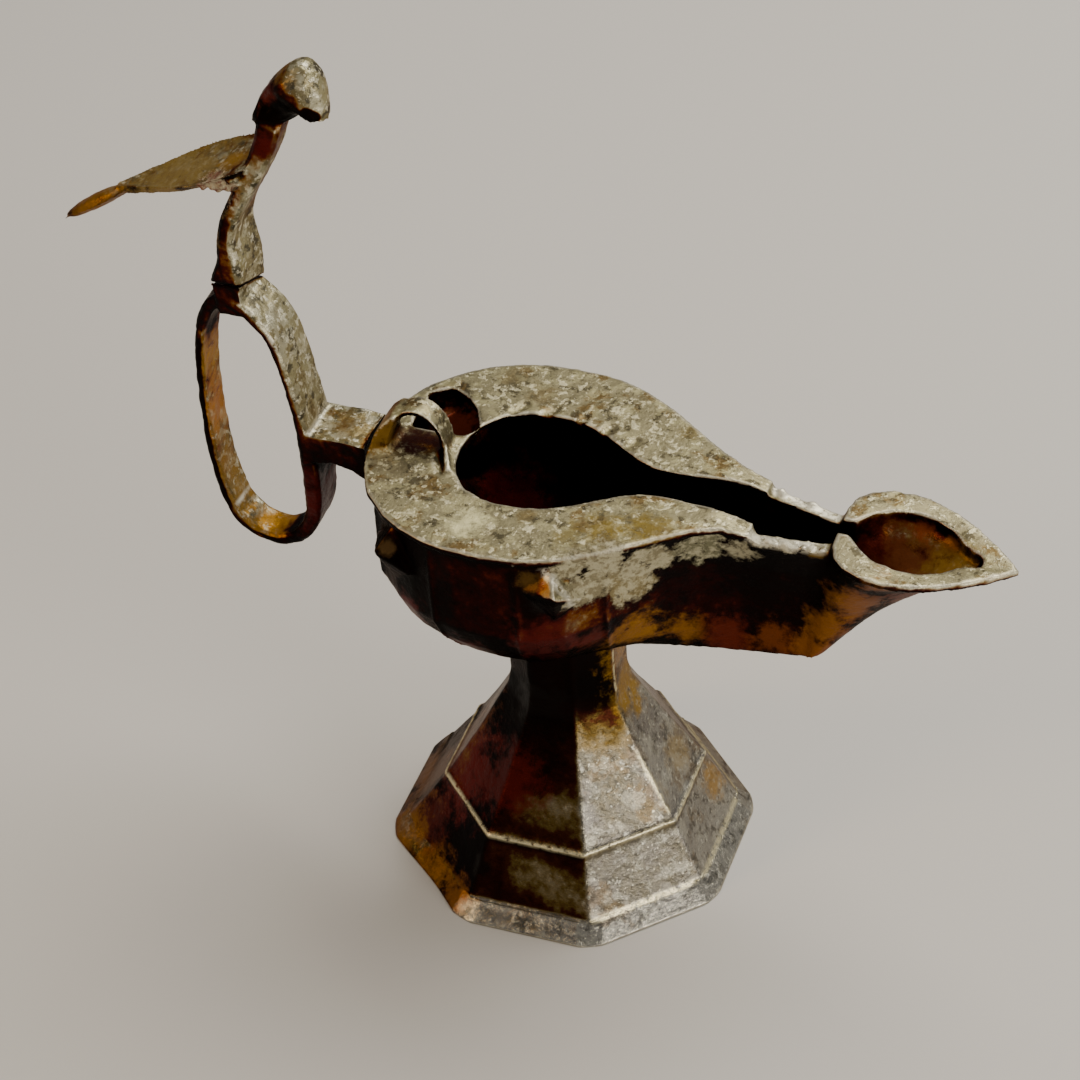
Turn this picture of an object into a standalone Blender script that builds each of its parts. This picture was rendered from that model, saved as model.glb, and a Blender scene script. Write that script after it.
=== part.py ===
# A cast bronze oil lamp on an octagonal foot, with a ring handle that carries a bird.
#
# Four pieces: the bell-shaped foot, the covered bowl with its wick channel and nozzle,
# the ring handle, and the bird that is set on top of the ring.
# The long axis is X with the nozzle at +X, Z is up, and the lamp stands on Z = 0.
# All sizes below are in millimetres, and places along X are counted from the foot's own axis.

import math

import bmesh
import bpy

MM = 0.001
SEAM = 0.3                # gap between two pieces that touch

# Foot: an eight-sided bell
FOOT_SIDES = 8
FOOT_RADIUS = 45.0        # to the corners of the base
FOOT_LIP = 1.8            # height of the upright edge of the base
FLANGE_TOP = 4.6          # where the turned-out edge meets the bell
FLANGE_RADIUS = 40.4
LINE_RADIUS = 32.2        # the thin raised line round the bell
LINE_HEIGHT = 19.7
LINE_RELIEF = 0.7
LINE_WIDTH = 1.1
NECK_RADIUS = 18.0        # where the bell turns up into the stem
NECK_HEIGHT = 43.5
STEM_RADIUS = 14.4
STEM_START = 53.0         # the stem is upright above this
FOOT_WALL = 2.6
FOOT_SHARP = 20             # degrees; flatter turns than this look round

# Bowl: seen from above, a rounded back, a narrowing front, a channel and an almond nozzle
RIM_TOP = 115.0
RIM_THICK = 2.2
RIM_OVERHANG = 1.4        # how far the flat rim stands out past the wall
BOWL_BACK = 44.5
BOWL_HALF = 35.4
BOWL_WIDEST = -7.0        # X of the widest place
BOWL_ROUNDNESS = 2.15     # 2 is an ellipse, more is squarer
RIM_END = 48.7            # the flat rim stops here and the channel's bare walls go on
RIM_END_HALF = 10.3
RIM_END_DROP = 2.2        # how much lower the rim is at its front end
RIM_END_BEND = 38.0       # X where it begins to drop
FRONT_SWEEP = 1.26        # how late the front begins to narrow
BELLY_HEIGHT = 91.0       # the wall is upright down to here
BELLY_ROUNDNESS = 1.7
BOWL_WALL = 2.5
WALL_BASE = 71.2          # underside of the bowl, round the stem
STEM_SEAT = 15.2          # radius of the bowl's underside round the stem
STEM_TOP = WALL_BASE - SEAM

# Opening in the flat rim
MOUTH_BACK = -23.0
MOUTH_HALF = 16.4
MOUTH_WIDEST = -6.0
MOUTH_NECK = 25.0         # the mouth narrows to a slot here
MOUTH_SLOT_HALF = 4.0

# Channel: two bare walls, lower than the rim
CHANNEL_START = 49.3
CHANNEL_END = 66.0
CHANNEL_TOP = RIM_TOP - 4.0
CHANNEL_DROP = 1.8
CHANNEL_HALF = 6.3        # inside, at the start
CHANNEL_NARROW = 3.4      # inside, at the end
CHANNEL_WALL = 3.5
CHANNEL_FLOOR = 92.0
SLOT_FLOOR_HALF = 2.3      # half width of the channel's floor

# Nozzle: an almond plate with a well
NOZZLE_BACK = 66.8
NOZZLE_WIDEST = 80.0
NOZZLE_HALF = 16.3
NOZZLE_TIP = 107.8
NOZZLE_TOP = RIM_TOP - 3.0
NOZZLE_DROP = 3.6         # how much lower the tip is
NOZZLE_RIM = 6.6          # width of the flat edge round the well
WELL_BACK = 70.5
WELL_TIP = 99.0
WELL_FLOOR_BACK = 97.0
WELL_FLOOR_TIP = 105.6
WELL_FLOOR_HALF = 1.4

# Keel below the front, the channel and the nozzle
KEEL_HALF = 2.8
FAIR_START = 41.0         # X from which the side is evened out
FAIR_ROUNDS = 4
SPOUT_START = 6.0         # from here forwards the round bowl turns into the spout
KEEL_BACK = 44.9          # X of the keel below the front end of the rim
KEEL_RISE = 70.3          # height of the keel there
KEEL_TURN = 72.0          # height of the keel below the nozzle's rear
KEEL_END = 74.6           # height of the keel's front corner
KEEL_SLOPE = 5.5          # length of the keel's upturned front
KEEL_STEP = 0.05          # share of each stretch of the keel that its first point skips
KEEL_REACH = 64.7         # how far forward the keel's lowest corner comes

# Raised ribs and pointed bosses on the bowl's wall
RIB_PLACES = (-38.6, -20.0, 1.5, 20.0)
RIB_WIDTH = 1.3
RIB_RELIEF = 0.7
BOSS_PLACES = (-31.0, 10.0)
BOSS_WIDTH = 14.4
BOSS_HIGH = RIM_TOP - 3.5
BOSS_POINT = RIM_TOP - 8.6   # height of the tip
BOSS_LOW = RIM_TOP - 19.5
BOSS_BACK = RIM_TOP - 9.6    # heights of the two side corners
BOSS_FRONT = RIM_TOP - 14.0
BOSS_REACH = 5.4

# Hinge loop on the back of the rim, and the gap beside it
ARCH_MIDDLE = -33.0
ARCH_HALF = 7.6
ARCH_HEIGHT = 10.5
ARCH_WALL = 1.7
ARCH_DEPTH = 6.4
GAP = (
    (-36.9, 4.4), (-24.4, 4.4), (-21.6, 7.6), (-24.8, 14.4), (-27.6, 17.4), (-32.6, 20.4),
    (-37.6, 17.2), (-36.2, 14.2), (-37.4, 9.4),
)

# Ring handle: centre line, thickness and half width, from the seat forwards and round;
# heights are counted from the rim's top
RING = (
    (-75.2, 35.4, 4.2, 6.6),
    (-69.9, 32.4, 3.6, 7.0),
    (-65.2, 26.0, 3.2, 7.0),
    (-62.8, 17.0, 3.2, 7.0),
    (-60.9, 6.0, 3.4, 7.0),
    (-59.8, -5.0, 4.6, 6.9),
    (-60.0, -17.0, 5.0, 6.2),
    (-61.4, -26.5, 4.4, 5.6),
    (-66.0, -34.0, 4.0, 5.2),
    (-74.2, -35.8, 3.8, 5.0),
    (-81.0, -31.0, 3.8, 5.0),
    (-84.6, -20.0, 3.2, 5.0),
    (-85.7, -5.0, 2.9, 5.0),
    (-85.4, 10.0, 2.9, 5.0),
    (-84.0, 22.5, 3.0, 5.2),
    (-80.8, 31.4, 3.6, 5.9),
)
RING_STEPS = 4            # steps between two places of the ring
LINK_START = -60.6
LINK_TOP = RIM_TOP + 0.6
LINK_HALF = 7.0
LINK_DEPTH_RING = 9.0
LINK_DEPTH_BOWL = 11.0
SEAT_TOP = RIM_TOP + 37.8          # middle of the seam between the ring and the bird
SEAT_SLANT = 0.42         # the seam falls this much for each millimetre toward the far side
SLANT_FADE = 14.0         # the bird's breast is level again this far above the seam
SEAT_DEPTH = 6.4
SEAT_BACK = -78.4
SEAT_FRONT = -70.4
SEAT_HALF = 6.9

# Bird: a strap-like breast and neck, a hooded head, a leaf-shaped back and a tail feather;
# heights are counted from the middle of the seam
BREAST_STEPS = 3
BREAST = (
    (-74.3, 0.3, 8.0, 7.2),
    (-73.0, 7.2, 6.0, 7.5),
    (-73.2, 13.8, 4.4, 7.2),
    (-71.8, 19.7, 4.2, 6.8),
    (-68.6, 26.2, 4.6, 6.0),
    (-64.8, 33.2, 5.0, 5.0),
    (-61.6, 40.2, 5.6, 4.2),
    (-59.6, 47.2, 6.4, 4.0),
)
HEAD = (
    (-65.0, 45.0), (-63.8, 48.4), (-61.5, 52.7), (-57.9, 57.3), (-54.2, 60.5),
    (-51.0, 61.6), (-48.5, 60.0), (-46.9, 56.7), (-46.5, 51.8), (-46.8, 47.1),
    (-48.6, 48.4), (-51.4, 48.8), (-54.4, 46.6), (-58.0, 44.7), (-62.2, 44.4),
)
HEAD_HALF = 5.4
BACK_ROOT = (-65.2, 36.2)
BACK_END = (-101.4, 21.2)
BACK_HALF = 8.5
BACK_ROLL = 0.12          # rise toward the far side for each millimetre across
BACK_THICK = 3.0
BACK_BORDER = 1.1         # width of the raised border
BACK_RELIEF = 0.6
TAIL_ROOT = (-97.6, 21.8)
TAIL_TIP = (-116.4, 9.2)
TAIL_HALF = 3.6
TAIL_THICK = 3.4

# The frame's X = 0 is the middle of the whole length
FOOT_X = (-TAIL_TIP[0] - NOZZLE_TIP) / 2


def clear_scene():
    for old in list(bpy.data.objects):
        bpy.data.objects.remove(old, do_unlink=True)


def bronze(name, colour, roughness):
    material = bpy.data.materials.new(name)
    material.use_nodes = True
    shader = material.node_tree.nodes["Principled BSDF"]
    shader.inputs["Base Color"].default_value = (*colour, 1.0)
    shader.inputs["Metallic"].default_value = 0.85
    shader.inputs["Roughness"].default_value = roughness
    return material


def solid(name, points, faces, material, cutter=False, sharp=32):
    # points are in millimetres, counted from the foot's axis
    mesh = bpy.data.meshes.new(name)
    placed = [((x + FOOT_X) * MM, y * MM, z * MM) for x, y, z in points]
    mesh.from_pydata(placed, [], faces)
    shape = bmesh.new()
    shape.from_mesh(mesh)
    bmesh.ops.recalc_face_normals(shape, faces=shape.faces[:])
    shape.to_mesh(mesh)
    shape.free()
    mesh.shade_smooth()
    mesh.set_sharp_from_angle(angle=math.radians(sharp))
    piece = bpy.data.objects.new(name, mesh)
    bpy.context.scene.collection.objects.link(piece)
    piece.data.materials.append(material)
    if cutter:
        piece.hide_render = True
        piece.display_type = "WIRE"
    return piece


def combine(piece, other, operation):
    step = piece.modifiers.new(other.name, "BOOLEAN")
    step.operation = operation
    step.solver = "EXACT"
    step.object = other


def mix(a, b, share):
    return a + (b - a) * share


def ease(share):
    share = min(max(share, 0.0), 1.0)
    return share * share * (3 - 2 * share)


def curve(values, steps, closed=False):
    # a smooth curve through the given tuples, with the same number of steps between each two
    count = len(values)
    result = []
    spans = count if closed else count - 1
    for span in range(spans):
        around = []
        for shift in (-1, 0, 1, 2):
            index = span + shift
            index = index % count if closed else min(max(index, 0), count - 1)
            around.append(values[index])
        for step in range(steps):
            t = step / steps
            weights = (-t ** 3 + 2 * t ** 2 - t, 3 * t ** 3 - 5 * t ** 2 + 2,
                       -3 * t ** 3 + 4 * t ** 2 + t, t ** 3 - t ** 2)
            result.append(tuple(sum(w * v[k] for w, v in zip(weights, around)) / 2
                                for k in range(len(values[0]))))
    if not closed:
        result.append(tuple(values[-1]))
    return result


def band_faces(rows, width, joined=False):
    # quads between rows of points, each row being a closed ring of the given width
    faces = []
    last = rows if joined else rows - 1
    for row in range(last):
        below = row * width
        above = ((row + 1) % rows) * width
        for i in range(width):
            j = (i + 1) % width
            faces.append((below + i, below + j, above + j, above + i))
    return faces


def ladder_faces(start, width):
    # closes a ring whose two sides mirror each other across Y = 0
    half = width // 2
    faces = [(start, start + 1, start + width - 1)]
    for i in range(1, half - 1):
        faces.append((start + i, start + i + 1, start + width - i - 1, start + width - i))
    faces.append((start + half - 1, start + half, start + half + 1))
    return faces


def foot_outline():
    line_in = LINE_WIDTH / 2
    slope = (LINE_HEIGHT - FLANGE_TOP) / (FLANGE_RADIUS - LINE_RADIUS)
    upper = (NECK_HEIGHT - LINE_HEIGHT) / (LINE_RADIUS - NECK_RADIUS)
    turn = STEM_RADIUS + 0.3 * (NECK_RADIUS - STEM_RADIUS)
    return [
        (FOOT_RADIUS, 0.0),
        (FOOT_RADIUS, FOOT_LIP),
        (mix(FOOT_RADIUS, FLANGE_RADIUS, 0.35), mix(FOOT_LIP, FLANGE_TOP, 0.8)),
        (FLANGE_RADIUS, FLANGE_TOP),
        (LINE_RADIUS + line_in, LINE_HEIGHT - line_in * slope),
        (LINE_RADIUS + LINE_RELIEF, LINE_HEIGHT + LINE_RELIEF / slope),
        (LINE_RADIUS - line_in, LINE_HEIGHT + line_in * upper),
        (mix(LINE_RADIUS, NECK_RADIUS, 0.55), mix(LINE_HEIGHT, NECK_HEIGHT, 0.53)),
        (NECK_RADIUS, NECK_HEIGHT),
        (turn, mix(NECK_HEIGHT, STEM_START, 0.5)),
        (STEM_RADIUS, STEM_START),
        (STEM_RADIUS, STEM_TOP),
    ]


def foot_hollow():
    # the inside, from the base up to a blunt end in the stem
    wall = FOOT_WALL
    return [
        (FOOT_RADIUS - wall, 0.0),
        (FLANGE_RADIUS - wall * 0.9, FLANGE_TOP - wall * 0.4),
        (LINE_RADIUS - wall, LINE_HEIGHT - wall * 0.5),
        (NECK_RADIUS - wall, NECK_HEIGHT - wall * 0.6),
        (STEM_RADIUS - wall * 1.6, mix(NECK_HEIGHT, STEM_START, 0.5)),
        (STEM_RADIUS * 0.35, mix(NECK_HEIGHT, STEM_START, 0.8)),
    ]


def make_foot(material):
    points = []
    outline = list(reversed(foot_outline())) + foot_hollow()
    for radius, height in outline:
        for side in range(FOOT_SIDES):
            angle = math.radians(360 / FOOT_SIDES * (side + 0.5))
            points.append((radius * math.cos(angle), radius * math.sin(angle), height))
    faces = band_faces(len(outline), FOOT_SIDES)
    last = len(points) - FOOT_SIDES
    faces.append(tuple(range(FOOT_SIDES)))
    faces.append(tuple(range(last, last + FOOT_SIDES)))
    return solid("foot", points, faces, material, sharp=FOOT_SHARP)


def rim_half(x):
    # half width of the flat rim's outer edge
    if x <= BOWL_WIDEST:
        share = min((BOWL_WIDEST - x) / (BOWL_BACK + BOWL_WIDEST), 1.0)
        return BOWL_HALF * (1 - share ** BOWL_ROUNDNESS) ** (1 / BOWL_ROUNDNESS)
    share = (x - BOWL_WIDEST) / (RIM_END - BOWL_WIDEST)
    swing = 0.5 + 0.5 * math.cos(math.pi * share ** FRONT_SWEEP)
    return RIM_END_HALF + (BOWL_HALF - RIM_END_HALF) * swing


def bowl_stations():
    # X of each place along the flat rim, close together where a rib stands
    places = []
    turns = 9
    for step in range(turns):
        swing = math.cos(math.pi / 2 * step / turns) ** (2 / BOWL_ROUNDNESS)
        places.append(BOWL_WIDEST - (BOWL_BACK + BOWL_WIDEST) * swing)
    front = 9
    for step in range(front + 1):
        places.append(mix(BOWL_WIDEST, RIM_END, step / front))
    for rib in RIB_PLACES:
        near = [x for x in places if abs(x - rib) < 1.8 * RIB_WIDTH and x not in (-BOWL_BACK, RIM_END)]
        for x in near:
            places.remove(x)
        places += [rib - RIB_WIDTH / 2, rib, rib + RIB_WIDTH / 2]
    return sorted(places)


def nozzle_half(x):
    if x <= NOZZLE_WIDEST:
        share = (NOZZLE_WIDEST - x) / (NOZZLE_WIDEST - NOZZLE_BACK)
        rear = CHANNEL_NARROW + CHANNEL_WALL + 0.4
        return rear + (NOZZLE_HALF - rear) * math.sqrt(max(1 - share ** 2, 0.0))
    share = (x - NOZZLE_WIDEST) / (NOZZLE_TIP - NOZZLE_WIDEST)
    return NOZZLE_HALF * max(1 - share ** 1.75, 0.0)


def nozzle_stations():
    rear = [mix(NOZZLE_WIDEST, NOZZLE_BACK, math.cos(math.pi / 2 * step / 4)) for step in range(4)]
    front = [mix(NOZZLE_WIDEST, NOZZLE_TIP, math.sin(math.pi / 2 * step / 7)) for step in range(8)]
    return rear + front


def mouth_half(x):
    # half width of the opening in the flat rim
    if x <= MOUTH_WIDEST:
        share = min((MOUTH_WIDEST - x) / (MOUTH_WIDEST - MOUTH_BACK), 1.0)
        return MOUTH_HALF * math.sqrt(1 - share ** 2.6)
    if x <= MOUTH_NECK:
        share = (x - MOUTH_WIDEST) / (MOUTH_NECK - MOUTH_WIDEST)
        return mix(MOUTH_SLOT_HALF, MOUTH_HALF, 0.5 + 0.5 * math.cos(math.pi * share ** 1.25))
    return mix(MOUTH_SLOT_HALF, CHANNEL_HALF - 0.8, ease((x - MOUTH_NECK) / (RIM_END - MOUTH_NECK)))


def frame_stations():
    # one entry for each place round the half outline, from the back to the nozzle's tip:
    # part, X and half width of the outer edge, top height, X and half width of the opening
    stations = []
    bowl = bowl_stations()
    for x in bowl:
        share = (x + BOWL_BACK) / (RIM_END + BOWL_BACK)
        inner_x = mix(MOUTH_BACK, RIM_END, share ** 0.92)
        top = RIM_TOP - RIM_END_DROP * ease((x - RIM_END_BEND) / (RIM_END - RIM_END_BEND)) ** 1.4
        inner = 0.0 if x == bowl[0] else mouth_half(inner_x)
        outer = 0.0 if x == bowl[0] else rim_half(x)
        stations.append(("bowl", x, outer, top, inner_x, inner))
    for step in range(4):
        share = step / 3
        x = mix(CHANNEL_START, CHANNEL_END, share)
        inner = mix(CHANNEL_HALF, CHANNEL_NARROW, share)
        top = CHANNEL_TOP - CHANNEL_DROP * share
        stations.append(("channel", x, inner + CHANNEL_WALL, top, x, inner))
    nozzle = nozzle_stations()
    well_reach = WELL_TIP - WELL_BACK
    for x in nozzle:
        share = (x - NOZZLE_BACK) / (NOZZLE_TIP - NOZZLE_BACK)
        outer = nozzle_half(x)
        top = NOZZLE_TOP - NOZZLE_DROP * share ** 1.6
        inner_x = mix(NOZZLE_BACK, WELL_TIP, share)
        well = (inner_x - WELL_BACK) / well_reach
        open_half = (NOZZLE_HALF - NOZZLE_RIM) * max(1 - abs(2 * well - 0.85) ** 2.4, 0.0)
        inner = max(open_half, 2.0) if x < NOZZLE_TIP else 0.0
        stations.append(("nozzle", x, 0.0 if x == NOZZLE_TIP else outer, top, inner_x, inner))
    return stations


# How deep each level of the hollow is, as a share of its full depth
HOLLOW_LEVELS = (0.0, 0.25, 0.45, 0.62, 0.78, 0.90, 1.0)
# How the outer wall draws in from the rim (0) to the underside (1)
WALL_LEVELS = (0.0, 0.12, 0.25, 0.43, 0.56, 0.70, 0.83, 0.93, 1.0)
# along X and across Y, below the channel and the nozzle, at each of those levels
SPOUT_ALONG = (1.0, 0.83, 0.59, 0.40, 0.284, 0.19, 0.11, 0.05, 0.0)
SPOUT_ACROSS = (1.0, 0.80, 0.62, 0.47, 0.39, 0.34, 0.31, 0.29, 0.28)


def bowl_draw(height, base):
    # share of the rim's size that is left at a height of the bowl
    if height >= BELLY_HEIGHT:
        return 1.0
    depth = min((BELLY_HEIGHT - height) / (BELLY_HEIGHT - WALL_BASE), 1.0)
    return base + (1 - base) * (1 - depth ** BELLY_ROUNDNESS) ** (1 / BELLY_ROUNDNESS)


def keel_place(part, x):
    # X and height of the underside that belongs to a place on the rim
    if part == "bowl":
        spread = ease((x - SPOUT_START) / (RIM_END - SPOUT_START))
        return KEEL_BACK * spread, mix(WALL_BASE, KEEL_RISE, spread), spread
    turn = KEEL_REACH - KEEL_SLOPE
    if part == "channel":
        share = (x - CHANNEL_START) / (CHANNEL_END - CHANNEL_START)
        share = mix(KEEL_STEP, 1.0, share)
        return mix(KEEL_BACK, turn, share), mix(KEEL_RISE, KEEL_TURN, share), 1.0
    share = (x - NOZZLE_BACK) / (NOZZLE_TIP - NOZZLE_BACK)
    share = mix(KEEL_STEP, 1.0, share)
    return mix(turn, KEEL_REACH, share), mix(KEEL_TURN, KEEL_END, share), 1.0


def under_rim(part, x, outer):
    # the wall's top line, which stands back under the flat rim
    if part == "channel":
        return x, outer - 0.25
    if part == "bowl":
        return (x * (1 - RIM_OVERHANG / BOWL_BACK) if x < 0 else x), max(outer - RIM_OVERHANG, 0.4 * outer)
    share = (x - NOZZLE_BACK) / (NOZZLE_TIP - NOZZLE_BACK)
    return x - 1.6 * RIM_OVERHANG * share, max(outer - RIM_OVERHANG, 0.4 * outer)


def wall_row(stations, level):
    # one half row of the outer wall
    row = []
    share = WALL_LEVELS[level]
    for part, x, outer, top, _, _ in stations:
        keel_x, keel_z, spout = keel_place(part, x)
        height = mix(top - RIM_THICK, keel_z, share)
        draw = bowl_draw(height, STEM_SEAT / BOWL_HALF)
        wall_x, wall_half = under_rim(part, x, outer)
        half = wall_half * mix(draw, SPOUT_ACROSS[level], spout)
        if outer > 0:
            half = max(half, min(KEEL_HALF, wall_half))
        place = keel_x + (wall_x - keel_x) * mix(draw, SPOUT_ALONG[level], spout)
        row.append((place, -half, height))
    return row


def fair(row, stations, level):
    # evens out the spout's side, so the channel and the nozzle grow out of it without a crease
    if level == 0:
        return row
    for _ in range(FAIR_ROUNDS):
        evened = list(row)
        for i in range(1, len(row) - 2):
            if stations[i][1] > FAIR_START:
                evened[i] = tuple((row[i - 1][k] + 2 * row[i][k] + row[i + 1][k]) / 4 for k in range(3))
        row = evened
    return row


def add_ribs(row, stations, level):
    # a rib stands out of the wall, and fades at the rim and at the foot
    if level in (0, len(WALL_LEVELS) - 1):
        return row
    raised = []
    for (x, y, z), station in zip(row, stations):
        if station[0] == "bowl" and station[1] in RIB_PLACES:
            length = math.hypot(x, y)
            grow = (length + RIB_RELIEF) / length
            raised.append((x * grow, y * grow, z))
        else:
            raised.append((x, y, z))
    return raised


def inside_rows(stations):
    # the hollow: the bowl, the slot of the channel and the nozzle's well
    rows = []
    for depth in HOLLOW_LEVELS:
        row = []
        for index, (part, x, outer, top, inner_x, inner) in enumerate(stations):
            ceiling = top - RIM_THICK - 0.6
            if part == "bowl":
                spread = ease((x - SPOUT_START) / (RIM_END - SPOUT_START))
                floor = mix(WALL_BASE + BOWL_WALL + 0.6, CHANNEL_FLOOR, spread ** 1.3)
                height = mix(ceiling, floor, depth)
                draw = bowl_draw(height - BOWL_WALL * 0.9, STEM_SEAT / BOWL_HALF)
                wide = max(outer - RIM_OVERHANG - BOWL_WALL, 0.0)
                slot = mix(inner + 0.6, SLOT_FLOOR_HALF, depth)
                half = mix(wide * draw, slot, spread)
                far = x + (BOWL_WALL + RIM_OVERHANG) if x < 0 else x
                place = mix(far * draw if x < 0 else far, mix(inner_x, x, 0.5), spread)
                if x > 0:
                    place = mix(x * mix(draw, 1.0, spread), place, 0.5)
            elif part == "channel":
                height = mix(ceiling, CHANNEL_FLOOR, depth)
                half = mix(inner + 0.15, SLOT_FLOOR_HALF, depth ** 1.5)
                place = x
            else:
                share = (inner_x - NOZZLE_BACK) / (WELL_TIP - NOZZLE_BACK)
                floor = mix(WELL_FLOOR_BACK, WELL_FLOOR_TIP, share)
                height = mix(min(ceiling, top - RIM_THICK), floor, depth)
                half = mix(inner, WELL_FLOOR_HALF, depth ** 1.6)
                middle = mix(NOZZLE_BACK, WELL_TIP, 0.45)
                place = mix(inner_x, middle, 0.25 * depth) if inner_x > middle else inner_x
            if index == 0 or index == len(stations) - 1:
                half = 0.0
            row.append((place, -half, height))
        rows.append(row)
    return rows


def full_ring(half_row):
    return half_row + [(x, -y, z) for x, y, z in reversed(half_row[1:-1])]


def make_bowl(material):
    stations = frame_stations()
    rows = []
    for level in reversed(range(len(WALL_LEVELS))):
        row = fair(wall_row(stations, level), stations, level)
        rows.append(add_ribs(row, stations, level))
    edge = [(x, -outer, top) for _, x, outer, top, _, _ in stations]
    rows.append([(x, y, z - RIM_THICK) for x, y, z in edge])
    rows.append(edge)
    mouth = [(x, -inner, top) for _, _, _, top, x, inner in stations]
    rows.append(mouth)
    rows.append([(x, y, z - RIM_THICK + 0.2) for x, y, z in mouth])
    rows += inside_rows(stations)
    points = []
    for row in rows:
        points += full_ring(row)
    width = 2 * len(stations) - 2
    faces = band_faces(len(rows), width)
    faces += ladder_faces(0, width)
    faces += ladder_faces((len(rows) - 1) * width, width)
    bowl = solid("bowl", points, faces, material)
    for number, place in enumerate(BOSS_PLACES):
        for side in (-1, 1):
            boss = make_boss(f"boss_{number}_{'near' if side < 0 else 'far'}", place, side, material)
            combine(bowl, boss, "UNION")
    combine(bowl, make_arch(material), "UNION")
    combine(bowl, make_gap(material), "DIFFERENCE")
    return bowl


def make_boss(name, place, side, material):
    # a four-sided point with its tip above its middle, square to the wall
    half = rim_half(place)
    slope = (rim_half(place + 0.5) - rim_half(place - 0.5)) / 1.0
    along = (1 / math.hypot(1, slope), slope / math.hypot(1, slope))
    out = (-along[1], along[0])
    seat = -RIM_OVERHANG

    def at(sideways, reach, height):
        x = place + along[0] * sideways + out[0] * (seat + reach)
        y = half + along[1] * sideways + out[1] * (seat + reach)
        return (x, y * side, height)

    base = ((-BOSS_WIDTH / 2, BOSS_BACK), (0.0, BOSS_HIGH), (BOSS_WIDTH / 2, BOSS_FRONT), (0.0, BOSS_LOW))
    points = [at(s, -1.2, z) for s, z in base]
    points += [at(s * 0.92, 0.35, mix(z, BOSS_POINT, 0.08)) for s, z in base]
    points.append(at(0.0, BOSS_REACH, BOSS_POINT))
    faces = [(0, 1, 2, 3)] + band_faces(2, 4)
    faces += [(4 + i, 4 + (i + 1) % 4, 8) for i in range(4)]
    return solid(name, points, faces, material, cutter=True)


def make_arch(material):
    # a small tunnel that runs across the rim
    steps = 12
    points = []
    for y in (-ARCH_DEPTH / 2, ARCH_DEPTH / 2):
        for shrink in (0.0, ARCH_WALL):
            for step in range(steps + 1):
                angle = math.pi * step / steps
                x = ARCH_MIDDLE - (ARCH_HALF - shrink) * math.cos(angle)
                z = RIM_TOP + (ARCH_HEIGHT - shrink) * math.sin(angle)
                points.append((x, y, z - 1.0 if step in (0, steps) else z))
    near = steps + 1
    faces = []
    for step in range(steps):
        a = step
        b = step + 1
        faces.append((a, b, near + b, near + a))
        faces.append((2 * near + a, 2 * near + b, 3 * near + b, 3 * near + a))
        faces.append((a, b, 2 * near + b, 2 * near + a))
        faces.append((near + a, near + b, 3 * near + b, 3 * near + a))
    for end in (0, steps):
        faces.append((end, near + end, 3 * near + end, 2 * near + end))
    return solid("arch", points, faces, material, cutter=True)


def make_gap(material):
    # the break in the rim on the far side of the arch, with a ragged outline
    count = len(GAP)
    points = [(x, y, RIM_TOP - 3 * RIM_THICK) for x, y in GAP]
    points += [(x, y, RIM_TOP + RIM_THICK) for x, y in GAP]
    faces = [tuple(range(count)), tuple(range(count, 2 * count))] + band_faces(2, count)
    return solid("gap", points, faces, material, cutter=True)


STRAP_SIDES = 8


def strap_points(path, closed):
    # an eight-sided flat section carried along a path of (x, z, thickness, half width)
    points = []
    count = len(path)
    for i, (x, z, thick, half) in enumerate(path):
        if closed:
            before = path[(i - 1) % count]
            after = path[(i + 1) % count]
        else:
            before = path[max(i - 1, 0)]
            after = path[min(i + 1, count - 1)]
        dx = after[0] - before[0]
        dz = after[1] - before[1]
        length = math.hypot(dx, dz)
        out_x = dz / length
        out_z = -dx / length
        bevel = min(thick * 0.28, 1.1)
        section = (
            (thick / 2, -half + bevel), (thick / 2, half - bevel),
            (thick / 2 - bevel, half), (-thick / 2 + bevel, half),
            (-thick / 2, half - bevel), (-thick / 2, -half + bevel),
            (-thick / 2 + bevel, -half), (thick / 2 - bevel, -half),
        )
        for reach, y in section:
            points.append((x + out_x * reach, y, z + out_z * reach))
    return points


def make_handle(material):
    places = [(x, RIM_TOP + z, thick, half) for x, z, thick, half in RING]
    path = curve(places, RING_STEPS, closed=True)
    ring = solid("handle", strap_points(path, True), band_faces(len(path), STRAP_SIDES, joined=True), material)
    combine(ring, make_link(material), "UNION")
    combine(ring, make_seat(material), "UNION")
    combine(ring, make_seam_cut(material), "DIFFERENCE")
    return ring


def rim_back(y):
    # X of the rim's outer edge at the back, where the arm ends
    round_back = (1 - (abs(y) / BOWL_HALF) ** BOWL_ROUNDNESS) ** (1 / BOWL_ROUNDNESS)
    return BOWL_WIDEST - (BOWL_BACK + BOWL_WIDEST) * round_back


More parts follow.
